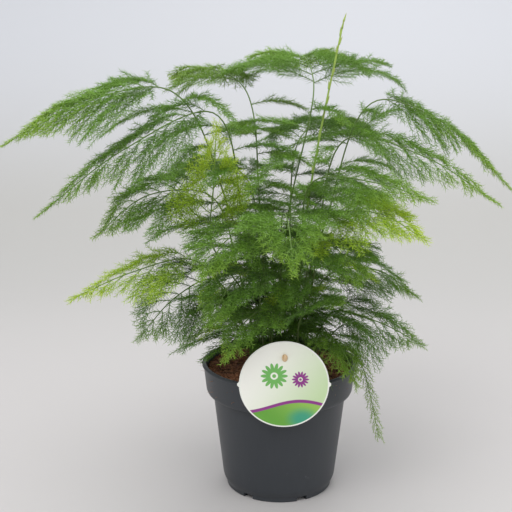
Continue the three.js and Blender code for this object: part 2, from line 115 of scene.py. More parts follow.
class Graph:
    """A node tree that is written as expressions."""

    def __init__(self, tree: NodeTree) -> None:
        """Holds the tree."""
        self.tree = tree

    def add(self, kind: str, inputs: Inputs | None = None, **settings: Any) -> Node:
        """Adds a node, sets its properties and then fills its sockets.

        Args:
            kind: The node's type.
            inputs: Values or wires by a socket's name or number.
            settings: Properties by name.

        Returns:
            The new node.
        """
        node = self.tree.nodes.new(kind)
        for name, value in settings.items():
            setattr(node, name, value)
        for name, value in (inputs or {}).items():
            if isinstance(value, Wire):
                self.tree.links.new(value.socket, node.inputs[name])
            else:
                node.inputs[name].default_value = value
        return node

    def wire(
        self, kind: str, inputs: Inputs | None = None, output: str | int = 0, **settings: Any,
    ) -> Wire:
        """Adds a node as add does and gives one of its outputs, by name or number."""
        return Wire(self, self.add(kind, inputs, **settings).outputs[output])


class Shader(Graph):
    """A material's nodes, read from the piece's Object coordinates."""

    def __init__(self, name: str) -> None:
        """Makes an empty material.

        Args:
            name: The material's name.
        """
        self.material = bpy.data.materials.new(name)
        self.material.use_nodes = True
        super().__init__(self.material.node_tree)
        self.tree.nodes.clear()
        self.place = self.wire("ShaderNodeTexCoord", output="Object")

    def axis(self, name: str) -> Wire:
        """Gives the X, Y or Z coordinate in millimetres."""
        return self.wire("ShaderNodeSeparateXYZ", {0: self.place}, name) / MM

    def stretched(self, scale: Point) -> Wire:
        """Gives coordinates that are scaled on each axis."""
        inputs = {"Vector": self.place, "Scale": scale}
        return self.wire("ShaderNodeMapping", inputs, vector_type="POINT")

    def noise(self, size: float, detail: float = 3.0, place: Wire | None = None) -> Wire:
        """Gives soft noise around a half, with blotches of about a size in millimetres."""
        inputs = {"Vector": place or self.place, "Scale": 1 / (size * MM), "Detail": detail}
        return self.wire("ShaderNodeTexNoise", inputs)

    def attribute(self, name: str) -> Wire:
        """Gives one of the piece's own attributes as a number."""
        return self.wire("ShaderNodeAttribute", output="Fac", attribute_name=name)

    def mix(self, share: Wire | float, first: Wire | Colour, second: Wire | Colour) -> Wire:
        """Blends two colours, of which share is the second's part."""
        inputs = {"Factor": share, 6: first, 7: second}
        return self.wire("ShaderNodeMix", inputs, output=2, data_type="RGBA")

    def bump(self, height: Wire, relief: float, strength: float = 1.0) -> Wire:
        """Gives the normal of a surface that a height of 1 raises by a relief in millimetres."""
        inputs = {"Height": height, "Distance": relief * MM, "Strength": strength}
        return self.wire("ShaderNodeBump", inputs)

    def close(self, **inputs: Any) -> Material:
        """Ends the material in one Principled shader.

        Args:
            inputs: Socket values by name, an underscore standing for a space.

        Returns:
            The finished material.
        """
        named = {name.replace("_", " "): value for name, value in inputs.items()}
        surface = self.wire("ShaderNodeBsdfPrincipled", named)
        self.add("ShaderNodeOutputMaterial", {"Surface": surface})
        return self.material


class Growth(Graph):
    """A geometry node tree with named inputs, for what repeats or follows a path."""

    def __init__(self, name: str) -> None:
        """Makes a tree with one geometry input and one geometry output.

        Args:
            name: The tree's name.
        """
        super().__init__(bpy.data.node_groups.new(name, "GeometryNodeTree"))
        self.tree.interface.new_socket("Geometry", in_out="OUTPUT", socket_type="NodeSocketGeometry")
        self.entry = self.add("NodeGroupInput")
        self.source = self.input("Geometry", "Geometry")

    def input(self, name: str, kind: str, default: float | None = None) -> Wire:
        """Adds a named input to the tree.

        Args:
            name: The input's name.
            kind: Its kind, such as Float or Material.
            default: Its value where a modifier sets none.

        Returns:
            The input as a wire.
        """
        socket = self.tree.interface.new_socket(name, in_out="INPUT", socket_type="NodeSocket" + kind)
        if default is not None:
            socket.default_value = default
        return Wire(self, self.entry.outputs[name])

    def named(self, name: str, kind: str = "FLOAT") -> Wire:
        """Reads a named attribute of the geometry."""
        return self.wire("GeometryNodeInputNamedAttribute", {"Name": name}, data_type=kind)

    def store(self, geometry: Wire, name: str, value: Wire) -> Wire:
        """Writes a number to a named attribute of the geometry's points."""
        inputs = {"Geometry": geometry, "Name": name, "Value": value}
        return self.wire("GeometryNodeStoreNamedAttribute", inputs, data_type="FLOAT", domain="POINT")

    def random(self, limits: Pair, seed: Wire) -> Wire:
        """Draws a number for each element between two limits."""
        inputs = {2: limits[0], 3: limits[1], "Seed": seed}
        return self.wire("FunctionNodeRandomValue", inputs, output=1, data_type="FLOAT")

    def vector(self, operation: str, *vectors: Wire) -> Wire:
        """Adds a Vector Math node and gives its result."""
        return self.wire("ShaderNodeVectorMath", dict(enumerate(vectors)), operation=operation)

    def scaled(self, vector: Wire, factor: Wire | float) -> Wire:
        """Scales a vector by a number."""
        return self.wire("ShaderNodeVectorMath", {0: vector, "Scale": factor}, operation="SCALE")

    def xyz(self, x: Wire | float, y: Wire | float, z: Wire) -> Wire:
        """Puts three numbers together as a vector."""
        return self.wire("ShaderNodeCombineXYZ", {"X": x, "Y": y, "Z": z})

    def spike(self, foot: Wire | float, end: float, length: Wire) -> Wire:
        """Makes a three-sided spike along Z from its foot's radius, its end's radius and its length."""
        return self.wire("GeometryNodeMeshCone", {
            "Vertices": 3, "Side Segments": 1, "Fill Segments": 1, "Radius Top": end,
            "Radius Bottom": foot, "Depth": length})

    def planted(self, points: Wire, shape: Wire, turn: Wire, scale: Wire) -> Wire:
        """Sets a turned and scaled instance of a shape on every point."""
        inputs = {"Points": points, "Instance": shape, "Rotation": turn, "Scale": scale}
        return self.wire("GeometryNodeInstanceOnPoints", inputs)

    def with_material(self, geometry: Wire, material: Wire) -> Wire:
        """Gives geometry a material."""
        return self.wire("GeometryNodeSetMaterial", {"Geometry": geometry, "Material": material})

    def joined(self, *parts: Wire) -> Wire:
        """Joins several geometries into one.

        Args:
            parts: The geometries.

        Returns:
            All of them.
        """
        node = self.add("GeometryNodeJoinGeometry")
        for part in parts:
            self.tree.links.new(part.socket, node.inputs[0])
        return Wire(self, node.outputs[0])

    def end(self, geometry: Wire) -> None:
        """Realizes the instances and ends the tree."""
        realized = self.wire("GeometryNodeRealizeInstances", {"Geometry": geometry})
        self.add("NodeGroupOutput", {"Geometry": realized})

    def applied(self, source: Object, values: Mapping[str, Any]) -> Object:
        """Runs the tree on an object and keeps the result as a plain mesh.

        Args:
            source: The object that the tree starts from. It is removed.
            values: The tree's inputs by name.

        Returns:
            The new plain object with the source's name.
        """
        modifier = source.modifiers.new(self.tree.name, "NODES")
        modifier.node_group = self.tree
        for item in self.tree.interface.items_tree:
            if item.name in values and item.in_out == "INPUT":
                modifier[item.identifier] = values[item.name]
        return plain(source)


def placed(name: str, data: ID) -> Object:
    """Links a mesh, curve, light or camera into the scene as an object at the origin.

    Args:
        name: The object's name.
        data: What it holds.

    Returns:
        The object.
    """
    piece = bpy.data.objects.new(name, data)
    bpy.context.scene.collection.objects.link(piece)
    return piece


def plain(source: Object) -> Object:
    """Turns an object with modifiers, or a curve, into a plain mesh object at the origin.

    Args:
        source: The object. It is removed.

    Returns:
        The new object, with the source's name.
    """
    name = source.name
    graph = bpy.context.evaluated_depsgraph_get()
    mesh = bpy.data.meshes.new_from_object(
        source.evaluated_get(graph), preserve_all_data_layers=True, depsgraph=graph)
    mesh.transform(source.matrix_world)
    bpy.data.objects.remove(source)
    mesh.name = name
    return placed(name, mesh)


def handed_over(piece: Object, node: str) -> None:
    """Lets a finished piece stand for a CAD node and reports it.

    Args:
        piece: The finished piece.
        node: The node that it replaces.
    """
    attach(piece, "root")
    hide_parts(node)
    LOG.info("%s: %d faces", piece.name, len(piece.data.polygons))


def around(steps: int, shift: float = 0.0) -> list[Pair]:
    """Gives the cosine and sine of each step round a circle, shifted by a share of a step."""
    angles = [2 * math.pi * (j + shift) / steps for j in range(steps)]
    return [(math.cos(angle), math.sin(angle)) for angle in angles]


def bridged(shape: BMesh, rings: Sequence[Sequence[BMVert]]) -> None:
    """Joins each ring of vertices to the next with faces.

    Args:
        shape: The mesh that they are in.
        rings: The rings. One that repeats a single vertex is a pole.
    """
    for low, high in zip(rings, rings[1:]):
        for j in range(len(low)):
            k = (j + 1) % len(low)
            shape.faces.new(list(dict.fromkeys((low[j], low[k], high[k], high[j]))))


def meshed(name: str, shape: BMesh) -> Mesh:
    """Turns a shape into a named mesh and frees it.

    Args:
        name: The mesh's name.
        shape: The shape.

    Returns:
        The mesh.
    """
    mesh = bpy.data.meshes.new(name)
    shape.to_mesh(mesh)
    shape.free()
    return mesh


def turned(profile: Sequence[Pair], segments: int) -> Mesh:
    """Turns a profile about Z into a closed mesh.

    Args:
        profile: Radius and height in millimetres, from the axis at the bottom to the axis at the top.
        segments: Number of steps round.

    Returns:
        The mesh in metres.
    """
    shape = bmesh.new()
    rings = []
    for radius, height in profile:
        if radius == 0:
            rings.append([shape.verts.new((0, 0, height * MM))] * segments)
        else:
            rings.append([
                shape.verts.new((radius * x * MM, radius * y * MM, height * MM))
                for x, y in around(segments)])
    bridged(shape, rings)
    return meshed("turned", shape)


def rounded(profile: Sequence[Point]) -> list[Pair]:
    """Rounds the corners of a profile.

    Args:
        profile: Radius, height and rounding radius of each corner in millimetres.

    Returns:
        The profile's radius and height points.
    """
    points = []
    last = len(profile) - 1
    for i, (x, y, rounding) in enumerate(profile):
        if rounding == 0 or i in (0, last):
            points.append((x, y))
            continue
        corner = Vector((x, y))
        before = (Vector(profile[i - 1][:2]) - corner).normalized()
        after = (Vector(profile[i + 1][:2]) - corner).normalized()
        start, end = corner + before * rounding, corner + after * rounding
        for j in range(ROUNDING_POINTS):
            t = j / (ROUNDING_POINTS - 1)
            point = start * (1 - t) ** 2 + corner * 2 * t * (1 - t) + end * t ** 2
            points.append((point.x, point.y))
    return points


def draws(seed: int) -> Draw:
    """Makes a seeded source of even draws from 0 to 1, by mixing the bits of a 32-bit count.

    Args:
        seed: Any whole number.

    Returns:
        A function that gives the next draw.
    """
    whole = 0xFFFFFFFF
    step = 0x6D2B79F5
    state = seed & whole

    def draw() -> float:
        """Gives the next draw.

        Returns:
            A number from 0 to 1.
        """
        nonlocal state
        state = (state + step) & whole
        value = ((state ^ (state >> 15)) * (state | 1)) & whole
        value ^= (value + (((value ^ (value >> 7)) * (value | 61)) & whole)) & whole
        return ((value ^ (value >> 14)) & whole) / (whole + 1)

    return draw


def vary(draw: Draw, width: float) -> float:
    """Gives a factor around 1 that strays by up to a width."""
    return 1 + width * (2 * draw() - 1)


def between(ends: Pair, share: float) -> float:
    """Gives the number at a share of the way between two ends."""
    return ends[0] + (ends[1] - ends[0]) * share


def unit(vector: np.ndarray) -> np.ndarray:
    """Gives a vector's direction."""
    return vector / np.linalg.norm(vector)


def upward(height: float) -> np.ndarray:
    """Gives a vector straight up, or down where the height is below 0."""
    return np.array([0.0, 0.0, height])


@dataclass(frozen=True)
class Place:
    """A point on a stem and its directions: forward, to the side and up from the plume's plane."""

    point: np.ndarray
    forward: np.ndarray
    side: np.ndarray
    up: np.ndarray


class Route:
    """A smooth path through points in millimetres, read by the distance along it."""

    STEPS = 24
    REACH = 3.0

    def __init__(self, knots: Sequence[Point]) -> None:
        """Samples the path between its knots.

        Args:
            knots: The points that it passes through.
        """
        given = np.array(knots, dtype=float)
        ends = np.vstack((2 * given[0] - given[1], given, 2 * given[-1] - given[-2]))
        spans = np.linalg.norm(np.diff(ends, axis=0), axis=1)
        rows = [self._stretch(ends[i - 1:i + 3], spans[i - 1:i + 2]) for i in range(1, len(given))]
        self.points = np.vstack((*rows, given[-1:]))
        steps = np.linalg.norm(np.diff(self.points, axis=0), axis=1)
        self.run = np.concatenate(([0.0], np.cumsum(steps)))
        self.length = float(self.run[-1])

    def _stretch(self, points: np.ndarray, spans: np.ndarray) -> np.ndarray:
        """Samples the path between the middle two of four points.

        Args:
            points: Four points in a row.
            spans: The distances between them.

        Returns:
            The samples, without the last point.
        """
        before, start, end, after = points
        enter = (start - before) / spans[0] - (end - before) / (spans[0] + spans[1])
        leave = (after - end) / spans[2] - (after - start) / (spans[1] + spans[2])
        tangent_in = (enter + (end - start) / spans[1]) * spans[1]
        tangent_out = (leave + (end - start) / spans[1]) * spans[1]
        t = np.linspace(0, 1, self.STEPS, endpoint=False)[:, None]
        return (
            start * (2 * t ** 3 - 3 * t ** 2 + 1) + end * (3 * t ** 2 - 2 * t ** 3)
            + tangent_in * (t ** 3 - 2 * t ** 2 + t) + tangent_out * (t ** 3 - t ** 2))

    def knot(self, number: int) -> float:
        """Gives the distance along the path to one of its knots."""
        return float(self.run[self.STEPS * number])

    def point(self, distance: float) -> np.ndarray:
        """Gives the point at a distance along the path."""
        return np.array([np.interp(distance, self.run, self.points[:, k]) for k in range(3)])

    def place(self, distance: float, heading: float = 0.0, roll: float = 0.0) -> Place:
        """Gives the place at a distance along the path.

        Args:
            distance: Millimetres from the path's start.
            heading: The plume's way in the ground plane, in radians from +X.
            roll: How far the plume leans about its own way, in radians.

        Returns:
            The point and its directions.
        """
        forward = unit(self.point(distance + self.REACH) - self.point(distance - self.REACH))
        across = np.array([math.sin(heading), -math.cos(heading), 0.0])
        flat = unit(across - forward * across.dot(forward))
        side = flat * math.cos(roll) + np.cross(flat, forward) * math.sin(roll)
        return Place(self.point(distance), forward, side, np.cross(side, forward))


@dataclass(frozen=True)
class BowedRib:
    """A rib that sets out for a middle point and bends to its end."""

    root: Place
    middle: np.ndarray
    end: np.ndarray

    def place(self, q: float) -> Place:
        """Gives the place at a share of the rib.

        Args:
            q: The share.

        Returns:
            The point and its directions.
        """
        p = 1 - q
        point = self.root.point * p * p + self.middle * 2 * p * q + self.end * q * q
        forward = unit((self.middle - self.root.point) * p + (self.end - self.middle) * q)
        side = unit(np.cross(forward, self.root.up))
        return Place(point, forward, side, np.cross(side, forward))


@dataclass(frozen=True)
class LevelRib:
    """A rib that runs out from its root by a reach, and whose end then sags."""

    root: np.ndarray
    reach: np.ndarray
    sag: float

    def place(self, q: float) -> Place:
        """Gives the place at a share of the rib.

        Args:
            q: The share.

        Returns:
            The point and its directions.
        """
        down = upward(-self.sag)
        across = unit(np.cross(self.reach, UP))
        forward = unit(self.reach + down * 2 * q)
        point = self.root + self.reach * q + down * q * q
        return Place(point, forward, across, np.cross(across, forward))


class Tone(Enum):
    """The foliage's shades of green, as the record's slots name them."""

    DARK = "dark"
    MID = "mid"
    LIME = "lime"
    OLIVE = "olive"


class Rank(Enum):
    """The kinds of stem in a frond."""

    CANE = 0
    RIB = 1
    TWIG = 2


@dataclass(frozen=True)
class Strand:
    """One stem as a row of points, with its radius, age and share of full needles at each of them."""

    points: np.ndarray
    radius: np.ndarray
    up: np.ndarray
    young: np.ndarray
    fullness: np.ndarray
    rank: Rank


@dataclass(frozen=True)
class Spray:
    """Rule for the side sprays of a plume. Pairs of numbers run from the root end to the tip."""

    bare: float = 5.0
    lean: Pair = (62.0, 42.0)
    turn: float = 14.0
    along: Pair = (0.03, 0.76)
    tip_from: float = 0.78
    tip_sink: float = 2.5
    tip_size: float = 0.55
    tip_share: float = 0.4
    tip_margin: float = 1.0
    fade: float = 0.8
    bow: float = 0.16
    bend_share: float = 0.3
    vary_length: float = 0.12
    vary_lean: float = 0.08
    vary_sag: float = 0.3
    vary_bow: float = 0.5
    partner: float = 0.18
    radius: Pair = (0.34, 0.16)
    step: float = 4.0
    least_points: int = 3
    tail: float = 0.14
    fullness: Pair = (1.0, 0.6)
    tip_fullness: Pair = (0.85, 0.32)


@dataclass(frozen=True)
class Twig:
    """Rule for the twigs on both sides of a spray, and for the smaller ones in the spaces between."""

    step: float = 8.6
    spare: float = 0.6
    length: Pair = (17.0, 8.0)
    sweep: Pair = (40.0, 31.0)
    tilt: float = 0.34
    least: float = 0.55
    vary: float = 0.14
    start: float = 0.6
    bow: float = 0.09
    radius: Pair = (0.17, 0.08)
    between_size: float = 0.86
    between_at: float = 0.5
    between_shift: float = 0.1
    fullness: Pair = (1.0, 0.72)


@dataclass(frozen=True)
class Cane:
    """Rule for the canes. A cane has leaned out by lean_share of its way at bend_at of its height."""

    depth: float = 80.0
    straight_top: float = 99.0
    bend_at: float = 0.55
    lean_share: float = 0.35
    crook_knot: int = 3
    radius: Pair = (0.85, 0.36)
    step: float = 5.0


@dataclass(frozen=True)
class InnerSpray:
    """Rule for the level sprays that stand out from a cane on all sides below its crook.

    Their length is a share of the frond's span, and none hangs down before the label.
    """

    clear: float = 14.0
    step: float = 14.0
    length: Pair = (1.1, 0.95)
    longest: float = 62.0
    front_height: float = 150.0
    front: float = -54.0
    rise: float = 0.3
    sag: float = 0.42
    size: float = 0.85
    vary: float = 0.22
    # The inner sprays take the dark old colour, partly as older growth and partly as painted shade
    # inside the bush
    young: float = 0.1


@dataclass(frozen=True)
class Age:
    """How young a stem is, from 0 for the oldest to 1 for a new tip.

    cane is at a cane's foot, its crook and its end, plume what the last spray has over the first,
    spray what is added along a spray, and twig what is added at a twig's start, middle and tip.
    """

    cane: Point = (0.0, 0.25, 0.8)
    plume: float = 0.6
    spray: float = 0.3
    twig: Point = (0.0, 0.05, 0.2)


@dataclass(frozen=True)
class Seeds:
    """Draws kept for each frond, and where its tip's, partner sprays' and inner sprays' stand."""

    each: int = 64
    tip: int = 63
    partner: int = 32
    inner: int = 8192


CANE = Cane()
SPRAY = Spray()
TWIG = Twig()
INNER = InnerSpray()
AGE = Age()
SEEDS = Seeds()


@dataclass(frozen=True)
class Comb:
    """A rib with twigs in pairs, and a smaller pair in each space between them.

    curve gives the rib's place at a share of its length. size is its twigs' size, age how young it is
    at its root, tail how far it runs on past its length, as a share of it, and fullness the needles'
    share of their full length at its root and tip.
    """

    curve: Callable[[float], Place]
    length: float
    size: float
    draw: Draw
    age: float
    tail: float = 0.0
    fullness: Pair = SPRAY.fullness

    def strands(self) -> Iterator[Strand]:
        """Makes the rib and its twigs. All the main twigs are drawn before the smaller ones.

        Yields:
            The stems.
        """
        yield self._rib()
        leafy = self.length - SPRAY.bare
        pairs = max(1, round(leafy / TWIG.step))
        stops = [
            (SPRAY.bare + leafy * i / (pairs + TWIG.spare)) / self.length for i in range(pairs + 1)]
        drawn = [
            (low, high, hand, vary(self.draw, TWIG.vary), vary(self.draw, TWIG.vary), self.draw())
            for low, high in zip(stops, stops[1:]) for hand in (1, -1)]
        for low, high, hand, reach, sweep, tilt in drawn:
            full = between(self.fullness, low)
            size = reach * self.size
            yield self._twig((low, high), hand, (size, sweep, tilt), full)
            shift = (high - low) * (TWIG.between_at + TWIG.between_shift * hand)
            later = (low + shift, min(high + shift, 1.0))
            yield self._twig(later, hand, (size * TWIG.between_size, sweep, self.draw()), full)

    def _rib(self) -> Strand:
        """Makes the rib.

        Returns:
            The stem.
        """
        end = 1 + self.tail
        shares = np.linspace(0, end, max(SPRAY.least_points, round(self.length / SPRAY.step) + 1))
        places = [self.curve(q) for q in shares]
        return Strand(
            np.array([place.point for place in places]), np.interp(shares, (0, 1), SPRAY.radius),
            np.array([place.up for place in places]), self.age + AGE.spray * shares,
            np.interp(shares, (0, end), self.fullness), Rank.RIB)

    def _twig(self, span: Pair, hand: int, drawn: Point, full: float) -> Strand:
        """Makes one twig that bows out from the rib and then sweeps forward.

        Args:
            span: The shares of the rib between which the twig stands.
            hand: 1 for the rib's side direction and -1 for the other.
            drawn: Its size, sweep factor and tilt draw.
            full: The needles' share of their full length at the twig's root.

        Returns:
            The twig.
        """
        size, sweep_factor, tilt = drawn
        q = (span[0] + span[1]) / 2
        root, way = self.curve(span[1]), self.curve(q)
        reach = between(TWIG.length, q) * size
        sweep = math.radians(between(TWIG.sweep, q)) * sweep_factor
        tip = root.point + reach * (
            way.forward * math.cos(sweep) + way.side * (hand * math.sin(sweep))
            + way.up * (TWIG.tilt * (2 * tilt - 1)))
        start = self.curve(between(span, TWIG.start)).point
        middle = (start + tip) / 2 + way.side * (hand * reach * TWIG.bow)
        halves = (0, 0.5, 1)
        return Strand(
            np.array([start, middle, tip]), np.interp(halves, (0, 1), TWIG.radius),
            np.tile(way.up, (3, 1)), self.age + AGE.spray * q + np.array(AGE.twig),
            full * np.interp(halves, (0, 1), TWIG.fullness), Rank.TWIG)


@dataclass(frozen=True)
class Frond:
    """One frond's driving sizes in millimetres and degrees.

    Its cane stands in the soil at its root and leans out to the crook, where it arches over into a
    flat plume that ends at the tip. arch is how far the plume's middle stands above a straight line,
    span the longest spray, droop how far that one's tip sags, roll how far the plume leans about its
    own way, inner whether the cane has short sprays, and bends sets single sprays higher or lower to
    pass a neighbour.
    """

    node: str
    tone: Tone
    root: Pair
    crook: Point
    tip: Point
    seed: int
    sprays: int
    arch: float
    span: float
    droop: float
    roll: float = 0.0
    tip_from: float = SPRAY.tip_from
    tip_size: float = SPRAY.tip_size
    inner: bool = True
    bends: Mapping[int, float] = field(default_factory=dict)

    @cached_property
    def route(self) -> Route:
        """The path that the cane and the plume follow.

        Returns:
            The path.
        """
        surface = np.array([*self.root, CANE.straight_top])
        crook, tip = np.array(self.crook), np.array(self.tip)
        bend = surface + (crook - surface) * CANE.lean_share
        bend[2] = between((surface[2], crook[2]), CANE.bend_at)
        middle = (crook + tip) / 2 + upward(self.arch)
        return Route([(*self.root, CANE.depth), surface, bend, crook, middle, tip])

    @property
    def plume(self) -> Pair:
        """Where the plume starts and ends along the path."""
        return self.route.knot(CANE.crook_knot), self.route.length

    @property
    def heading(self) -> float:
        """The plume's way in the ground plane, in radians from +X."""
        return math.atan2(self.tip[1] - self.crook[1], self.tip[0] - self.crook[0])

    def place(self, distance: float) -> Place:
        """Gives the plume's place at a distance along the path."""
        return self.route.place(distance, self.heading, math.radians(self.roll))

    def _draw(self, number: int) -> Draw:
        """Makes the source of draws of one of the frond's parts."""
        return draws(self.seed * SEEDS.each + number)

    def strands(self) -> Iterator[Strand]:
        """Makes every stem of the frond, from the cane to the last twig.

        Yields:
            The stems.
        """
        last = between(self.plume, self.tip_from)
        yield self._cane(last)
        for number in range(self.sprays):
            share = number / (self.sprays - 1)
            yield from self._spray(number, share)
            later = min(share + SPRAY.partner / self.sprays, 1.0)
            yield from self._spray(number, later, partner=True)
        if self.inner:
            yield from self._inner_sprays()
        yield from self._tip(last)

    def _cane(self, last: float) -> Strand:
        """Makes the cane and the plume's midrib as one stem.

        Args:
            last: Where the plume's tip takes over, along the path.

        Returns:
            The stem.
        """
        places = np.linspace(0, last, math.ceil(last / CANE.step) + 1)
        points = np.array([self.route.point(s) for s in places])
        radius = np.interp(places, (0, last), CANE.radius)
        young = np.interp(places, (0, *self.plume), AGE.cane)
        up = np.tile(UP, (len(places), 1))
        return Strand(points, radius, up, young, np.zeros(len(places)), Rank.CANE)

    def _spray(self, number: int, share: float, partner: bool = False) -> Iterator[Strand]:
        """Makes one side spray. A partner stands opposite the spray of its number.

        Args:
            number: The spray's number from the crook.
            share: Its share of the way along the plume.
            partner: Whether it is the opposite spray.

        Yields:
            Its rib and twigs.
        """
        draw = self._draw(number + (SEEDS.partner if partner else 0))
        root = self.place(between(self.plume, between(SPRAY.along, share)))
        size = 1 - SPRAY.fade * share
        length = self.span * size * vary(draw, SPRAY.vary_length)
        lean = math.radians(between(SPRAY.lean, share)) * vary(draw, SPRAY.vary_lean)
        hand = -1 if (number % 2 == 1) != partner else 1
        bend = self.bends.get(number, 0.0)
        sag = self.droop * size * size * vary(draw, SPRAY.vary_sag)
        bow = self.droop * SPRAY.bow * vary(draw, SPRAY.vary_bow)

        def reach(angle: float, distance: float, rise: float) -> np.ndarray:
            """Gives the point at an angle and distance from the root, raised by some height."""
            way = root.forward * math.cos(angle) + root.side * (hand * math.sin(angle))
            return root.point + way * distance + upward(rise)

        middle = reach(lean, length / 2, bow + SPRAY.bend_share * bend)
        end = reach(lean - math.radians(SPRAY.turn), length, bend - sag)
        rib = BowedRib(root, middle, end)
        twig_size = between((TWIG.least, 1), size)
        tail = SPRAY.tail * (1 - share)
        yield from Comb(rib.place, length, twig_size, draw, share * AGE.plume, tail).strands()

    def _inner_sprays(self) -> Iterator[Strand]:
        """Makes the short sprays that stand out from the cane below the crook.

        Yields:
            Their ribs and twigs.
        """
        low = self.route.knot(1) + INNER.clear
        count = max(0, math.floor((self.plume[0] - low) / INNER.step))
        for number in range(count):
            draw = self._draw(SEEDS.inner + number)
            azimuth = self.heading + (number + self.seed) * GOLDEN_ANGLE
            length = self.span * between(INNER.length, number / count)
            length = min(length, INNER.longest) * vary(draw, INNER.vary)
            root = self.route.point(low + INNER.step * (number + draw() / 2))
            way = np.array([math.cos(azimuth), math.sin(azimuth), INNER.rise])
            rib = LevelRib(root, way * length, INNER.sag * length * vary(draw, INNER.vary))
            end = rib.place(1.0).point
            if end[1] >= INNER.front or end[2] >= INNER.front_height:
                comb = Comb(rib.place, length, INNER.size, draw, INNER.young, SPRAY.tail)
                yield from comb.strands()

    def _tip(self, last: float) -> Iterator[Strand]:
        """Makes the plume's last stretch, which starts a little inside the midrib.

        Args:
            last: Where it takes over from the midrib, along the path.

        Yields:
            Its rib and twigs.
        """
        first = last - SPRAY.tip_sink
        rest = self.route.length - last + SPRAY.tip_sink

        def curve(q: float) -> Place:
            """Gives the place at a share of the stretch."""
            place = self.place(min(first + rest * q, self.route.length - SPRAY.tip_margin))
            return replace(place, point=self.route.point(first + rest * q))

        size = self.tip_size * between((TWIG.least, 1), SPRAY.tip_share)
        draw = self._draw(SEEDS.tip)
        comb = Comb(curve, rest, size, draw, AGE.plume, fullness=SPRAY.tip_fullness)
        yield from comb.strands()


# The same driving sizes as the solids' fronds. The three places are a frond's root, crook and tip
FRONDS = (
    Frond("frond_top_right", Tone.MID, (14, 5), (75, 15, 300), (180, 25, 230),
          seed=11, sprays=10, arch=15, span=42, droop=20, roll=-14),
    Frond("frond_top_back", Tone.MID, (-3, 8), (25, 15, 310), (15, 120, 320),
          seed=12, sprays=9, arch=15, span=98, droop=34),
    Frond("frond_top_left", Tone.MID, (-11, 2), (-85, -10, 310), (-200, -30, 270),
          seed=13, sprays=11, arch=10, span=60, droop=20, roll=12),
    Frond("frond_upper_left", Tone.DARK, (-15, -5), (-50, -35, 295), (-170, -60, 225),
          seed=14, sprays=10, arch=10, span=50, droop=20, roll=18),
    Frond("frond_olive_back_left", Tone.OLIVE, (-7, 13), (-30, 50, 310), (-90, 120, 310),
          seed=15, sprays=7, arch=10, span=50, droop=24),
    Frond("frond_mid_back_right", Tone.DARK, (4, 14), (15, 45, 265), (65, 140, 260),
          seed=61, sprays=9, arch=15, span=74, droop=34),
    Frond("frond_upper_right", Tone.MID, (15, -4), (50, -15, 275), (155, -40, 230),
          seed=17, sprays=9, arch=10, span=38, droop=18, roll=-20, bends={0: 18}),
    Frond("frond_mid_right", Tone.MID, (10, -12), (25, -50, 250), (100, -85, 240),
          seed=18, sprays=7, arch=5, span=40, droop=18, roll=-18),
    Frond("frond_mid_left", Tone.MID, (-19, 3), (-55, -20, 235), (-135, -35, 205),
          seed=19, sprays=8, arch=15, span=52, droop=20, roll=26),
    Frond("frond_lime_left", Tone.LIME, (-20, -11), (-65, -40, 190), (-150, -60, 165),
          seed=20, sprays=7, arch=5, span=36, droop=12, roll=18),
    Frond("frond_low_left", Tone.DARK, (-22, 9), (-50, 0, 165), (-105, -45, 130),
          seed=21, sprays=7, arch=10, span=50, droop=16, roll=35),
    Frond("frond_lime_upright", Tone.LIME, (-12, -17), (-50, -45, 205), (-45, -60, 290),
          seed=22, sprays=8, arch=0, span=34, droop=-6, inner=False),
    Frond("frond_front", Tone.MID, (0, -15), (0, -60, 225), (5, -150, 205),
          seed=51, sprays=8, arch=15, span=48, droop=12),
    Frond("frond_lime_right", Tone.LIME, (17, -13), (35, -55, 225), (95, -95, 215),
          seed=24, sprays=8, arch=10, span=40, droop=16, roll=-16),
    Frond("frond_low_right", Tone.DARK, (20, 5), (35, 5, 165), (110, 20, 145),
          seed=25, sprays=7, arch=15, span=42, droop=16, roll=-22),
    Frond("frond_lowest_right", Tone.DARK, (23, -5), (40, -20, 145), (105, -40, 125),
          seed=26, sprays=7, arch=5, span=36, droop=16, roll=-24, bends={1: -8}),
    Frond("frond_olive_rim", Tone.OLIVE, (25, -17), (32, -30, 130), (55, -60, 100),
          seed=27, sprays=6, arch=10, span=22, droop=4),
    Frond("branch_drooping_right", Tone.OLIVE, (30, 2), (50, -20, 135), (75, -35, 50),
          seed=28, sprays=0, arch=10, span=15, droop=2, roll=80, tip_from=0.1, tip_size=0.9,
          inner=False),
    Frond("frond_drooping_front", Tone.MID, (-5, -24), (-10, -45, 155), (-40, -75, 125),
          seed=29, sprays=6, arch=10, span=28, droop=4),
    Frond("frond_small_front", Tone.DARK, (11, -26), (15, -50, 150), (40, -70, 165),
          seed=30, sprays=5, arch=5, span=28, droop=4),
    Frond("frond_back_left", Tone.DARK, (-10, 21), (-25, 45, 235), (-100, 140, 190),
          seed=31, sprays=7, arch=30, span=48, droop=12),
    Frond("frond_back_right", Tone.MID, (9, 21), (30, 45, 215), (105, 130, 175),
          seed=32, sprays=7, arch=25, span=46, droop=12),
    Frond("frond_low_back", Tone.DARK, (-1, 28), (-5, 50, 165), (5, 135, 130),
          seed=33, sprays=6, arch=25, span=44, droop=10),
    Frond("frond_front_left", Tone.MID, (-7, -19), (-20, -55, 215), (-55, -100, 190),
          seed=34, sprays=7, arch=10, span=40, droop=10),
    Frond("frond_front_right", Tone.DARK, (12, -21), (25, -50, 205), (50, -100, 185),
          seed=35, sprays=7, arch=10, span=42, droop=10),
    Frond("frond_low_front_left", Tone.DARK, (-12, -24), (-20, -50, 185), (-50, -90, 155),
          seed=41, sprays=7, arch=10, span=36, droop=8),
)


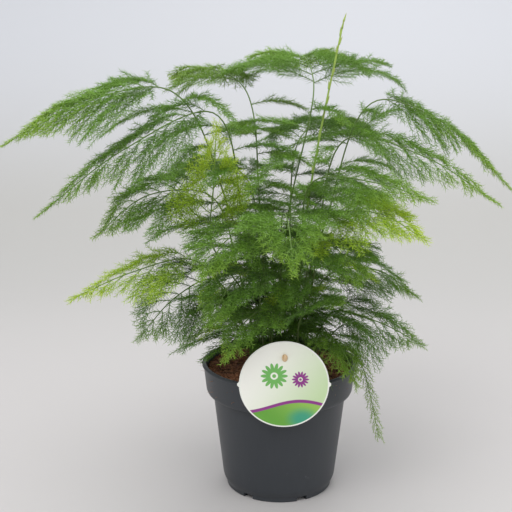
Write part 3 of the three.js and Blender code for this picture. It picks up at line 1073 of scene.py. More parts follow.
class FrondGrowth(Growth):
    """Grows round stems along a frond's strands and clothes its ribs and twigs with needles.

    SIDES are those of a cane, a rib and a twig, LEAN a needle's least and greatest lean out from its
    stem in radians, and SIZES its least and greatest length factor.
    """

    SIDES = (8, 4, 3)
    LEAN = (0.72, 1.12)
    SIZES = (0.75, 1.2)
    SEED = 5

    def __init__(self) -> None:
        """Builds the tree."""
        super().__init__("frond_growth")
        self.spacing = self.input("Needle Spacing", "Float", 0.69 * MM)
        self.length = self.input("Needle Length", "Float", 6.2 * MM)
        self.radius = self.input("Needle Radius", "Float", 0.23 * MM)
        self.flatness = self.input("Flatness", "Float", 0.6)
        self.seed = self.input("Seed", "Int", self.SEED)
        stem = self.input("Stem Material", "Material")
        needle = self.input("Needle Material", "Material")
        curves = self.wire("GeometryNodeMeshToCurve", {"Mesh": self.source})
        canes, rest = self._parted(curves, Rank.CANE)
        ribs, twigs = self._parted(rest, Rank.RIB)
        tubes = [self._tube(part, sides) for part, sides in zip((canes, ribs, twigs), self.SIDES)]
        smooth = self.wire("GeometryNodeSetShadeSmooth", {"Geometry": self.joined(*tubes)})
        needles = self._needles(self.joined(ribs, twigs))
        self.end(self.joined(
            self.with_material(smooth, stem), self.with_material(needles, needle)))

    def _parted(self, curves: Wire, rank: Rank) -> tuple[Wire, Wire]:
        """Parts the stems of a rank from those of higher ranks.

        Args:
            curves: The stems.
            rank: The rank.

        Returns:
            The stems of the rank and the rest.
        """
        is_rank = self.named("rank").math("LESS_THAN", rank.value + 0.5)
        inputs = {"Geometry": curves, "Selection": is_rank}
        node = self.add("GeometryNodeSeparateGeometry", inputs, domain="CURVE")
        return Wire(self, node.outputs[0]), Wire(self, node.outputs[1])

    def _tube(self, curves: Wire, sides: int) -> Wire:
        """Makes round stems of a number of sides along curves."""
        ring = self.wire("GeometryNodeCurvePrimitiveCircle", {"Resolution": sides, "Radius": 1.0})
        return self.wire("GeometryNodeCurveToMesh", {
            "Curve": curves, "Profile Curve": ring, "Scale": self.named("thickness"),
            "Fill Caps": True})

    def _needles(self, curves: Wire) -> Wire:
        """Sets needles round the curves at golden angles, leaning forward.

        Args:
            curves: The stems that carry needles.

        Returns:
            The needles as instances.
        """
        inputs = {"Curve": curves, "Length": self.spacing}
        spread = self.add("GeometryNodeCurveToPoints", inputs, mode="LENGTH")
        points, tangent = Wire(self, spread.outputs[0]), Wire(self, spread.outputs[1])
        up = self.vector("NORMALIZE", self.named("up", "FLOAT_VECTOR"))
        side = self.vector("NORMALIZE", self.vector("CROSS_PRODUCT", tangent, up))
        turn = self.wire("GeometryNodeInputIndex") * GOLDEN_ANGLE
        lean = self.random(self.LEAN, self.seed)
        across = self.scaled(side, turn.math("COSINE"))
        above = self.scaled(up, turn.math("SINE") * self.flatness)
        outward = self.scaled(self.vector("ADD", across, above), lean.math("SINE"))
        way = self.vector("ADD", self.scaled(tangent, lean.math("COSINE")), outward)
        turned_to = self.wire("FunctionNodeAlignRotationToVector", {"Vector": way}, axis="Z")
        size = self.random(self.SIZES, self.seed + 1.0) * self.named("fullness")
        tinted = self.store(points, "tint", self.random((0.0, 1.0), self.seed + 2.0))
        shape = self.spike(self.radius, 0.0, self.length)
        return self.planted(tinted, shape, turned_to, self.xyz(1.0, 1.0, size))


@dataclass(frozen=True)
class LeafFinish:
    """Needle or stem colour that pales from the old parts to the young tips, and towards the top,
    partly as younger growth and partly as painted light from above.

    A pair called an age or a height holds where its colour starts and where it is full.
    """

    name: str
    old: Colour
    grown: Colour
    young: Colour
    grown_age: Pair = (0.05, 0.5)
    young_age: Pair = (0.5, 1.15)
    # Paling towards the top: partly younger growth, partly painted light falling from above
    young_and_lit_height: Pair = (190.0, 300.0)
    young_and_lit_share: float = 0.2
    patch: float = 30.0
    patch_share: float = 0.5
    tint_share: float = 0.28
    tint_gain: float = 1.5
    rough_patch: float = 4.0
    rough_change: float = 0.9
    rough_least: float = 0.05

    def material(self) -> Material:
        """Builds the material.

        Returns:
            The material.
        """
        shader = Shader(self.name)
        age = shader.attribute("young") + self.patch_share * (shader.noise(self.patch, 2.0) - 0.5)
        # Paler higher up: partly younger growth, partly painted light from above
        age = age + self.young_and_lit_share * shader.axis("Z").ramp(*self.young_and_lit_height)
        base = shader.mix(age.ramp(*self.grown_age), self.old, self.grown)
        base = shader.mix(age.ramp(*self.young_age), base, self.young)
        pale = (*(self.tint_gain * c for c in self.grown[:3]), 1.0)
        base = shader.mix(shader.attribute("tint") * self.tint_share, base, pale)
        rough = self.rough_change * shader.noise(self.rough_patch) + self.rough_least
        return shader.close(Base_Color=base, Roughness=rough, Specular_IOR_Level=0.4)


# Old, grown and young needles of each tone, and the old and grown bark of every stem. The old greens
# are real older growth, darkened further as painted shade for the plant's middle.
NEEDLE_GREENS = {
    Tone.DARK: (rgb(54, 86, 24), rgb(90, 132, 38), rgb(130, 164, 54)),
    Tone.MID: (rgb(58, 92, 26), rgb(102, 144, 42), rgb(150, 182, 62)),
    Tone.LIME: (rgb(110, 148, 32), rgb(158, 190, 42), rgb(194, 214, 66)),
    Tone.OLIVE: (rgb(78, 112, 30), rgb(106, 142, 40), rgb(142, 172, 58)),
}
BARK_GREENS = (rgb(84, 100, 52), rgb(96, 124, 56))


@dataclass
class Foliage:
    """All the fronds, each one piece in its node's place."""

    fronds: Sequence[Frond] = FRONDS
    spent: Sequence[str] = ("thickness", "rank", "up", "fullness")

    def build(self) -> None:
        """Makes the tree and materials that the fronds share, grows every frond and hands it over."""
        growth = FrondGrowth()
        materials = {}
        for tone, greens in NEEDLE_GREENS.items():
            stem = LeafFinish(f"stem_{tone.value}", *BARK_GREENS, young=greens[1])
            needle = LeafFinish(f"needle_{tone.value}", *greens)
            materials[tone] = {
                "Stem Material": stem.material(), "Needle Material": needle.material()}
        for frond in self.fronds:
            values = {**materials[frond.tone], "Seed": frond.seed}
            piece = growth.applied(self._wire_frame(frond), values)
            layers = piece.data.attributes
            for name in self.spent:
                if name in layers:
                    layers.remove(layers[name])
            handed_over(piece, frond.node)

    @staticmethod
    def _wire_frame(frond: Frond) -> Object:
        """Makes a frond's strands as loose edges that carry their sizes.

        Args:
            frond: The frond.

        Returns:
            The object that the growth starts from.
        """
        strands = list(frond.strands())
        points = []
        edges = []
        for strand in strands:
            first, last = len(points), len(points) + len(strand.points) - 1
            edges.extend((j, j + 1) for j in range(first, last))
            points.extend((strand.points * MM).tolist())
        mesh = bpy.data.meshes.new(frond.node)
        mesh.from_pydata(points, edges, [])
        numbers = {
            "thickness": [strand.radius * MM for strand in strands],
            "young": [strand.young for strand in strands],
            "fullness": [strand.fullness for strand in strands],
            "rank": [np.full(len(strand.points), strand.rank.value) for strand in strands],
        }
        for name, values in numbers.items():
            layer = mesh.attributes.new(name, "FLOAT", "POINT")
            layer.data.foreach_set("value", np.concatenate(values).astype(np.float32))
        layer = mesh.attributes.new("up", "FLOAT_VECTOR", "POINT")
        ups = np.concatenate([strand.up for strand in strands]).astype(np.float32)
        layer.data.foreach_set("vector", ups.ravel())
        return placed(frond.node + "_piece", mesh)


@dataclass(frozen=True)
class PlasticFinish:
    """Anthracite moulded plastic with faint mottling, fine streaks down the wall and a few scuffs."""

    base: Colour = rgb(47, 51, 56)
    worn: Colour = rgb(66, 70, 75)
    scuffed: Colour = rgb(112, 114, 118)
    cloud: float = 50.0
    cloud_share: float = 0.35
    streak: float = 3.0
    streak_stretch: Point = (1.0, 1.0, 0.12)
    streak_share: float = 0.25
    scuff: float = 6.0
    scuff_edge: Pair = (0.66, 0.74)
    scuffed_area: float = 30.0
    scuffed_edge: Pair = (0.52, 0.62)
    scuff_share: float = 0.3
    grain: float = 0.6
    grain_share: float = 0.6
    relief: float = 0.08
    roughness: float = 0.36
    cloud_roughness: float = 0.16
    scuff_roughness: float = 0.2

    def material(self) -> Material:
        """Builds the material.

        Returns:
            The material.
        """
        shader = Shader("pot_plastic")
        cloud = shader.noise(self.cloud)
        streak = shader.noise(self.streak, 4.0, shader.stretched(self.streak_stretch))
        scuff = shader.noise(self.scuff, 6.0).ramp(*self.scuff_edge)
        scuff = scuff * shader.noise(self.scuffed_area).ramp(*self.scuffed_edge)
        wear = self.cloud_share * cloud + self.streak_share * streak
        base = shader.mix(wear, self.base, self.worn)
        base = shader.mix(scuff * self.scuff_share, base, self.scuffed)
        grain = shader.noise(self.grain) * self.grain_share + streak * (1 - self.grain_share)
        rough = self.roughness + self.cloud_roughness * cloud + self.scuff_roughness * scuff
        return shader.close(
            Base_Color=base, Roughness=rough, Normal=shader.bump(grain, self.relief, 0.5),
            Specular_IOR_Level=0.45)


@dataclass
class NurseryPot:
    """The pot: a turned wall with a collar and a rolled lip, and drain notches round its foot."""

    node: str = "pot"
    segments: int = 144
    height: float = 100.0
    rim_radius: float = 60.0
    lip_width: float = 3.1
    lip_height: float = 2.4
    lip_step: float = 1.1
    wall: float = 1.2
    collar_bottom: float = 76.5
    collar_radius: float = 56.8
    collar_wall: float = 1.5
    collar_round: float = 2.4
    body_top_radius: float = 51.65
    body_low_radius: float = 43.85
    body_low: float = 8.0
    foot_radius: float = 41.2
    foot_height: float = 3.0
    foot_edge: float = 0.7
    floor: float = 1.6
    notches: int = 6
    notch_first: float = -66.0
    notch_width: float = 8.0
    notch_height: float = 3.6
    notch_inner: float = 33.0
    notch_outer: float = 45.2
    notch_roof: float = 1.2
    cut_depth: float = 1.0
    hole_radius: float = 2.2
    hole_at: float = 37.0
    hole_segments: int = 24
    sharp_angle: float = 35.0
    finish: PlasticFinish = PlasticFinish()

    def build(self) -> None:
        """Makes the pot and hands it over."""
        piece = placed("pot_piece", turned(rounded(self._profile()), self.segments))
        boss_limit = placed("boss_limit", turned(self._mid_wall(), self.segments))
        bosses = self._boxes(
            "bosses", (self.notch_inner - self.notch_roof, self.notch_outer),
            self.notch_width + 2 * self.notch_roof,
            (self.floor / 4, self.notch_height + self.notch_roof))
        cuts = self._boxes(
            "cuts", (self.notch_inner, self.notch_outer), self.notch_width,
            (-self.cut_depth, self.notch_height))
        holes = self._holes()
        self._combine(bosses, "INTERSECT", boss_limit)
        bosses = plain(bosses)
        for operation, other in (("UNION", bosses), ("DIFFERENCE", cuts), ("DIFFERENCE", holes)):
            self._combine(piece, operation, other)
        piece = plain(piece)
        for helper in (boss_limit, bosses, cuts, holes):
            bpy.data.objects.remove(helper)
        piece.data.shade_smooth()
        piece.data.set_sharp_from_angle(angle=math.radians(self.sharp_angle))
        piece.data.materials.clear()
        piece.data.materials.append(self.finish.material())
        handed_over(piece, self.node)

    def _profile(self) -> list[Point]:
        """Gives the wall's corners from the bottom's middle, up outside and down inside.

        Returns:
            Each corner's radius and height, and how far it is rounded.
        """
        foot, collar, rim = self.foot_radius, self.collar_radius, self.rim_radius
        collar_low, collar_high = self.collar_bottom, self.collar_bottom + self.collar_round
        lip_low = self.height - self.lip_height
        return [
            (0, 0, 0),
            (foot - self.foot_edge, 0, 0.3),
            (foot, self.foot_edge, 0.3),
            (foot, self.foot_height, 1.2),
            (self.body_low_radius, self.body_low, 2.4),
            (self.body_top_radius, collar_low, 0.4),
            (collar - self.collar_round / 2, collar_low, 0.9),
            (collar, collar_high, 1.0),
            (rim - self.lip_step, lip_low, 0.4),
            (rim, lip_low + self.lip_step, 0.5),
            (rim, self.height - self.lip_step, 0.6),
            (rim - self.lip_step, self.height, 0.6),
            (rim - self.lip_width, self.height, 0.8),
            (collar - self.collar_wall, collar_high, 1.0),
            (self.body_top_radius - self.wall, collar_low, 0.8),
            (self.body_low_radius - self.wall, self.body_low, 2.0),
            (foot - self.wall, self.floor, 0.8),
            (0, self.floor, 0)]

    def _mid_wall(self) -> list[Pair]:
        """Gives the profile that keeps the bosses inside the wall."""
        half = self.wall / 2
        return [
            (0, self.floor / 2), (self.foot_radius - half, self.floor / 2),
            (self.body_low_radius - half, self.body_low), (0, self.body_low)]

    def _turns(self) -> list[Matrix]:
        """Gives the turn about Z of every notch."""
        angles = [self.notch_first + 360 * i / self.notches for i in range(self.notches)]
        return [Matrix.Rotation(math.radians(angle), 4, "Z") for angle in angles]

    def _boxes(self, name: str, radii: Pair, width: float, heights: Pair) -> Object:
        """Makes a box for each notch.

        Args:
            name: The object's name.
            radii: The boxes' inner and outer reach.
            width: Their width.
            heights: Their lowest and highest level.

        Returns:
            One object of all the boxes.
        """
        shape = bmesh.new()
        size = Vector((radii[1] - radii[0], width, heights[1] - heights[0])) * MM
        middle = Vector(((radii[0] + radii[1]) / 2, 0, (heights[0] + heights[1]) / 2)) * MM
        for turn in self._turns():
            matrix = turn @ Matrix.Translation(middle) @ Matrix.Diagonal((*size, 1))
            bmesh.ops.create_cube(shape, size=1.0, matrix=matrix)
        return placed(name, meshed(name, shape))

    def _holes(self) -> Object:
        """Makes a cutter for the drain hole over each notch.

        Returns:
            One object of all the cutters.
        """
        shape = bmesh.new()
        radius, depth = self.hole_radius * MM, self.body_low * MM
        middle = Matrix.Translation(Vector((self.hole_at, 0, self.body_low / 2)) * MM)
        for turn in self._turns():
            bmesh.ops.create_cone(
                shape, cap_ends=True, segments=self.hole_segments, radius1=radius, radius2=radius,
                depth=depth, matrix=turn @ middle)
        return placed("holes", meshed("holes", shape))

    @staticmethod
    def _combine(piece: Object, operation: str, other: Object) -> None:
        """Joins, cuts or trims a piece with another.

        Args:
            piece: The piece.
            operation: UNION, DIFFERENCE or INTERSECT.
            other: The other one, which is left in the scene.
        """
        modifier = piece.modifiers.new(operation.lower(), "BOOLEAN")
        modifier.operation = operation
        modifier.solver = "MANIFOLD"
        modifier.object = other


@dataclass(frozen=True)
class Litter:
    """How a loose bit lies on the soil: size factors, paleness, and lean and wobble in radians."""

    sizes: Pair
    tones: Pair
    lean: Pair
    wobble: float = 0.2


class CrumbGrowth(Growth):
    """Scatters crumbs and short fibres over the soil's surface."""

    CRUMB = Litter(sizes=(0.35, 1.5), tones=(0.0, 0.5), lean=(0.8 * math.pi, math.pi))
    FIBRE = Litter(sizes=(0.5, 1.2), tones=(0.3, 1.0), lean=(1.4, 1.75))
    FIBRE_FOOT = 0.25 * MM
    FIBRE_END = 0.08 * MM
    FIBRE_SEED = 9.0
    SEED = 3

    def __init__(self) -> None:
        """Builds the tree."""
        super().__init__("soil_crumbs")
        density = self.input("Crumbs per Square Metre", "Float", 190000.0)
        fibre_density = self.input("Fibres per Square Metre", "Float", 60000.0)
        size = self.input("Crumb Radius", "Float", 1.0 * MM)
        fibre_length = self.input("Fibre Length", "Float", 6.0 * MM)
        lowest = self.input("Lowest", "Float", 0.0)
        seed = self.input("Seed", "Int", self.SEED)
        material = self.input("Material", "Material")
        position = self.wire("GeometryNodeInputPosition")
        height = self.wire("ShaderNodeSeparateXYZ", {0: position}, "Z")
        self.on_top = height.math("GREATER_THAN", lowest)
        crumb = self.wire("GeometryNodeMeshIcoSphere", {"Radius": size, "Subdivisions": 1})
        fibre = self.spike(self.FIBRE_FOOT, self.FIBRE_END, fibre_length)
        crumbs = self._scattered(density, crumb, self.CRUMB, seed)
        fibres = self._scattered(fibre_density, fibre, self.FIBRE, seed + self.FIBRE_SEED)
        self.end(self.with_material(self.joined(self.source, crumbs, fibres), material))

    def _scattered(self, density: Wire, shape: Wire, litter: Litter, seed: Wire) -> Wire:
        """Scatters a shape over the top faces.

        Args:
            density: How many stand on a square metre.
            shape: The shape.
            litter: How it lies.
            seed: Seed of the draws.

        Returns:
            The scattered shapes as instances.
        """
        points = self.wire(
            "GeometryNodeDistributePointsOnFaces",
            {"Mesh": self.source, "Selection": self.on_top, "Density": density, "Seed": seed},
            distribute_method="RANDOM")
        limits = (litter.lean, (-litter.wobble, litter.wobble), (-math.pi, math.pi))
        turn = self.xyz(*(self.random(pair, seed + (1.0 + k)) for k, pair in enumerate(limits)))
        scale = self.xyz(*(self.random(litter.sizes, seed + (4.0 + k)) for k in range(3)))
        toned = self.store(points, "tint", self.random(litter.tones, seed + 7.0))
        return self.planted(toned, shape, turn, scale)


@dataclass(frozen=True)
class SoilFinish:
    """Reddish brown peat with paler fibres and dark damp hollows."""

    dark: Colour = rgb(70, 44, 32)
    brown: Colour = rgb(132, 86, 62)
    pale: Colour = rgb(178, 134, 102)
    clod: float = 6.0
    clod_edge: Pair = (0.35, 0.62)
    crumb: float = 1.4
    crumb_edge: Pair = (0.58, 0.72)
    crumb_share: float = 0.7
    tint_share: float = 0.9
    relief: float = 0.6

    def material(self) -> Material:
        """Builds the material.

        Returns:
            The material.
        """
        shader = Shader("soil")
        crumb = shader.noise(self.crumb)
        clod = shader.noise(self.clod, 4.0).ramp(*self.clod_edge)
        base = shader.mix(clod, self.dark, self.brown)
        base = shader.mix(crumb.ramp(*self.crumb_edge) * self.crumb_share, base, self.pale)
        base = shader.mix(shader.attribute("tint") * self.tint_share, base, self.pale)
        rough = shader.bump(crumb, self.relief, 0.8)
        return shader.close(Base_Color=base, Roughness=0.92, Normal=rough, Specular_IOR_Level=0.2)


@dataclass
class PottingSoil:
    """The soil that fills the pot to a little below its rim."""

    node: str = "soil"
    segments: int = 96
    bottom: float = 6.0
    bottom_radius: float = 41.0
    step_height: float = 76.8
    step_radius: float = 50.0
    shoulder_height: float = 79.6
    shoulder_radius: float = 54.8
    edge_radius: float = 55.9
    edge_height: float = 94.4
    crown_height: float = 96.4
    rings: int = 30
    bump: float = 1.5
    bump_width: float = 9.0
    bump_fractal: tuple[float, float, int] = (0.9, 2.2, 4)
    smooth_edge: float = 0.01
    crumb_edge: float = 0.2
    finish: SoilFinish = SoilFinish()

    def build(self) -> None:
        """Makes the soil and hands it over."""
        shares = [i / self.rings for i in range(1, self.rings)]
        levels = (self.edge_height, self.crown_height)
        mesh = turned([
            (0, self.bottom), (self.bottom_radius, self.bottom), (self.step_radius, self.step_height),
            (self.shoulder_radius, self.shoulder_height), (self.edge_radius, self.edge_height),
            *((self.edge_radius * (1 - share), between(levels, share)) for share in shares),
            (0, self.crown_height)], self.segments)
        for vertex in mesh.vertices:
            if vertex.co.z > (self.edge_height + self.smooth_edge) * MM:
                place = Vector((vertex.co.x, vertex.co.y, 0)) / MM
                swell = noise.fractal(place / self.bump_width, *self.bump_fractal)
                vertex.co.z += self.bump * MM * max(-1.0, min(1.0, swell))
        mesh.shade_smooth()
        lowest = (self.edge_height - self.crumb_edge) * MM
        values = {"Material": self.finish.material(), "Lowest": lowest}
        handed_over(CrumbGrowth().applied(placed("soil_piece", mesh), values), self.node)


@dataclass(frozen=True)
class Rosette:
    """A plain printed rosette of fourteen petals, its place and reach as shares of the label's radius.

    A petal reaches from inner to the full size, dot and gap are the middle dot's edge and the bare
    ring's round it, and blur is the softness of the petals' edge.
    """

    middle: Pair
    size: float
    colour: Colour
    lobes: float = 7.0
    inner: float = 0.58
    gap: Pair = (0.26, 0.3)
    dot: Pair = (0.16, 0.13)
    blur: float = 0.008

    def printed(self, shader: Shader, under: Wire, u: Wire, v: Wire) -> Wire:
        """Prints the rosette over a colour.

        Args:
            shader: The material.
            under: The colour below.
            u: Place across the label.
            v: Place up the label.

        Returns:
            The printed colour.
        """
        x, y = u - self.middle[0], v - self.middle[1]
        away = x.length_with(y)
        wave = (y.math("ARCTAN2", x) * self.lobes).math("COSINE").math("ABSOLUTE")
        petal = wave * ((1 - self.inner) * self.size) + self.inner * self.size
        inked = (petal - away).ramp(-self.blur, self.blur)
        inked = inked * away.ramp(*(self.size * share for share in self.gap))
        dot = away.ramp(*(self.size * share for share in self.dot))
        return shader.mix((inked + dot).math("MINIMUM", 1.0), under, self.colour)


@dataclass(frozen=True)
class PrintFinish:
    """Printed card: pale mint ground, a green hill with a plum edge, teal, and two plain rosettes.

    middle and radius are the label's and front its front face's Y. The artwork's own places are shares
    of the radius, and a pair of them holds where a colour starts and where it is full.
    """

    middle: Pair
    radius: float
    front: float
    ground: tuple[Colour, Colour] = (rgb(251, 251, 243), rgb(194, 222, 164))
    ground_slope: Pair = (0.5, -0.35)
    ground_edge: Pair = (-0.5, 0.8)
    hill: tuple[Colour, Colour] = (rgb(104, 168, 62), rgb(158, 204, 92))
    hill_slope: Pair = (0.6, 1.0)
    hill_light: Pair = (-1.0, 0.2)
    pond: Colour = rgb(44, 158, 136)
    plum: Colour = rgb(146, 58, 140)
    border: Colour = rgb(244, 246, 238)
    back: Colour = rgb(236, 238, 232)
    hill_level: float = -0.52
    hill_swell: float = 0.13
    hill_waves: float = 2.4
    hill_start: float = 0.7
    hill_edge: Pair = (0.012, -0.012)
    plum_edge: Pair = (0.045, 0.03)
    pond_at: Pair = (0.42, -0.8)
    pond_flatness: float = 1.4
    pond_edge: Pair = (0.46, 0.1)
    pond_share: float = 0.85
    border_edge: Pair = (0.962, 0.975)
    back_edge: Pair = (0.05, 0.15)
    rosettes: tuple[Rosette, ...] = (
        Rosette((-0.22, 0.2), 0.3, rgb(116, 186, 96)),
        Rosette((0.36, 0.12), 0.19, rgb(146, 58, 140)))
    fibre: float = 0.8
    relief: float = 0.03
    roughness: float = 0.3
    rough_patch: float = 10.0
    rough_change: float = 0.16

    def material(self) -> Material:
        """Builds the material.

        Returns:
            The material.
        """
        shader = Shader("label")
        u = (shader.axis("X") - self.middle[0]) / self.radius
        v = (shader.axis("Z") - self.middle[1]) / self.radius
        ground = shader.mix(self._slope(u, v, self.ground_slope).ramp(*self.ground_edge), *self.ground)
        crest = self.hill_swell * (u * self.hill_waves + self.hill_start).math("SINE")
        above = v - self.hill_level - crest
        hill = shader.mix(self._slope(u, v, self.hill_slope).ramp(*self.hill_light), *self.hill)
        to_pond = (u - self.pond_at[0]).length_with((v - self.pond_at[1]) * self.pond_flatness)
        hill = shader.mix(to_pond.ramp(*self.pond_edge) * self.pond_share, hill, self.pond)
        art = shader.mix(above.ramp(*self.hill_edge), ground, hill)
        art = shader.mix(above.math("ABSOLUTE").ramp(*self.plum_edge), art, self.plum)
        for rosette in self.rosettes:
            art = rosette.printed(shader, art, u, v)
        art = shader.mix(u.length_with(v).ramp(*self.border_edge), art, self.border)
        behind = (shader.axis("Y") - self.front).ramp(*self.back_edge)
        art = shader.mix(behind, art, self.back)
        rough = self.roughness + self.rough_change * shader.noise(self.rough_patch)
        fibre = shader.bump(shader.noise(self.fibre, 2.0), self.relief, 0.4)
        return shader.close(
            Base_Color=art, Roughness=rough, Normal=fibre, Specular_IOR_Level=0.45)

    @staticmethod
    def _slope(u: Wire, v: Wire, way: Pair) -> Wire:
        """Gives how far a place lies along a way across and up the label."""
        return u * way[0] + v * way[1]


@dataclass
class PlantLabel:
    """The round label, a thin card with a nub at either side and a hole for the stick."""

    node: str = "plant_label"
    radius: float = 32.5
    thickness: float = 0.8
    x: float = 2.0
    z: float = 102.5
    back: float = -60.55
    nub_length: float = 1.3
    nub_height: float = 2.2
    edge: float = 0.12
    edge_steps: int = 2
    hole: Pair = (2.34, 122.45)
    hole_reach: Pair = (2.15, 2.98)
    hole_segments: int = 32
    segments: int = 160
    sharp_angle: float = 40.0

    def build(self) -> None:
        """Makes the label and hands it over."""
        outline = bpy.data.curves.new("plant_label_piece", "CURVE")
        outline.dimensions = "2D"
        outline.fill_mode = "BOTH"
        outline.extrude = (self.thickness / 2 - self.edge) * MM
        outline.bevel_depth = self.edge * MM
        outline.bevel_resolution = self.edge_steps
        self._loop(outline, self._edge_points())
        self._loop(outline, [
            (self.hole[0] - self.x + self.hole_reach[0] * x,
             self.hole[1] - self.z + self.hole_reach[1] * y) for x, y in around(self.hole_segments)])
        card = placed(outline.name, outline)
        middle = Vector((self.x, self.back - self.thickness / 2, self.z)) * MM
        card.matrix_world = Matrix.Translation(middle) @ Matrix.Rotation(math.pi / 2, 4, "X")
        bpy.context.view_layer.update()
        piece = plain(card)
        front = self.back - self.thickness
        piece.data.materials.append(PrintFinish((self.x, self.z), self.radius, front).material())
        piece.data.set_sharp_from_angle(angle=math.radians(self.sharp_angle))
        handed_over(piece, self.node)

    def _edge_points(self) -> list[Pair]:
        """Gives the disc's outline with its nubs, about its middle.

        Returns:
            The points in millimetres.
        """
        reach = self.radius - self.edge
        points = []
        for cosine, sine in around(self.segments, 0.5):
            x, y = reach * cosine, reach * sine
            if abs(y) < self.nub_height / 2:
                x = math.copysign(reach + self.nub_length, x)
            points.append((x, y))
        return points

    @staticmethod
    def _loop(outline: Curve, points: Sequence[Pair]) -> None:
        """Adds a closed loop to an outline.

        Args:
            outline: The outline.
            points: The loop's points in millimetres.
        """
        spline = outline.splines.new("POLY")
        spline.points.add(len(points) - 1)
        for target, (x, y) in zip(spline.points, points):
            target.co = (x * MM, y * MM, 0, 1)
        spline.use_cyclic_u = True


@dataclass(frozen=True)
class WoodFinish:
    """Pale turned wood with fine grain along the stick."""

    pale: Colour = rgb(230, 200, 160)
    grain: Colour = rgb(200, 160, 112)
    line: float = 0.9
    line_stretch: Point = (1.0, 0.08, 0.08)
    line_edge: Pair = (0.42, 0.68)
    relief: float = 0.06
    roughness: float = 0.55
    line_roughness: float = 0.2

    def material(self) -> Material:
        """Builds the material.

        Returns:
            The material.
        """
        shader = Shader("stick_wood")
        lines = shader.noise(self.line, 3.0, shader.stretched(self.line_stretch))
        base = shader.mix(lines.ramp(*self.line_edge), self.pale, self.grain)
        rough = self.roughness + self.line_roughness * lines
        return shader.close(
            Base_Color=base, Roughness=rough, Normal=shader.bump(lines, self.relief))


@dataclass
class LabelStick:
    """The round wooden stick that carries the label, domed in front and pointed in the soil."""

    node: str = "label_stick"
    radius: float = 2.0
    dome: float = 2.0
    dome_flat: float = 0.62
    dome_rise: float = 0.05
    point: float = 3.0
    point_radius: float = 0.2
    front: Point = (2.3, -63.5, 125.0)
    buried: Point = (3.0, -22.5, 84.0)
    segments: int = 32
    finish: WoodFinish = WoodFinish()

    def build(self) -> None:
        """Makes the stick and hands it over."""
        front, buried = Vector(self.front), Vector(self.buried)
        length = (buried - front).length
        profile = [
            (0, 0, 0), (self.radius * self.dome_flat, self.dome_rise, 0.3),
            (self.radius, self.dome, 0.9), (self.radius, length - self.point, 0.8),
            (self.point_radius, length, 0), (0, length, 0)]
        mesh = turned(rounded(profile), self.segments)
        way = (buried - front).to_track_quat("Z", "Y").to_matrix().to_4x4()
        mesh.transform(Matrix.Translation(front * MM) @ way)
        mesh.shade_smooth()
        mesh.materials.append(self.finish.material())
        handed_over(placed("label_stick_piece", mesh), self.node)


@dataclass(frozen=True)
class ShootFinish:
    """Yellow-green bark of a young cane, with brown tips on its scale leaves."""

    low: Colour = rgb(112, 150, 58)
    high: Colour = rgb(164, 190, 88)
    tip: Colour = rgb(176, 168, 92)
    furrow: Colour = rgb(92, 112, 48)
    heights: Pair = (150.0, 350.0)
    scale_share: float = 0.7
    rib: float = 1.2
    rib_stretch: Point = (1.0, 1.0, 0.1)
    rib_edge: Pair = (0.45, 0.75)
    rib_share: float = 0.35
    relief: float = 0.06
    roughness: float = 0.42
    rib_roughness: float = 0.2

    def material(self) -> Material:
        """Builds the material.

        Returns:
            The material.
        """
        shader = Shader("new_shoot")
        base = shader.mix(shader.axis("Z").ramp(*self.heights), self.low, self.high)
        base = shader.mix(shader.attribute("young") * self.scale_share, base, self.tip)
        ribs = shader.noise(self.rib, 3.0, shader.stretched(self.rib_stretch))
        base = shader.mix(ribs.ramp(*self.rib_edge) * self.rib_share, base, self.furrow)
        rough = self.roughness + self.rib_roughness * ribs
        return shader.close(
            Base_Color=base, Roughness=rough, Normal=shader.bump(ribs, self.relief))


class Tubes:
    """Closed tubes in one mesh, with their age at each vertex."""

    def __init__(self, sides: int) -> None:
        """Starts an empty shape.

        Args:
            sides: The tubes' number of sides.
        """
        self.sides = sides
        self.shape = bmesh.new()
        self.young = self.shape.verts.layers.float.new("young")

    def add(self, rings: Sequence[tuple[Place, float, float]]) -> None:
        """Adds a closed tube.

        Args:
            rings: Each ring's place, radius and age.
        """
        rows = []
        for place, radius, age in rings:
            row = []
            for x, y in around(self.sides):
                out = place.up * x + place.side * y
                vertex = self.shape.verts.new((place.point + out * radius) * MM)
                vertex[self.young] = age
                row.append(vertex)
            rows.append(row)
        bridged(self.shape, rows)
        self.shape.faces.new(rows[0][::-1])
        self.shape.faces.new(rows[-1])

    def mesh(self, name: str) -> Mesh:
        """Turns the faces outwards and gives the tubes as a mesh."""
        bmesh.ops.recalc_face_normals(self.shape, faces=self.shape.faces)
        return meshed(name, self.shape)


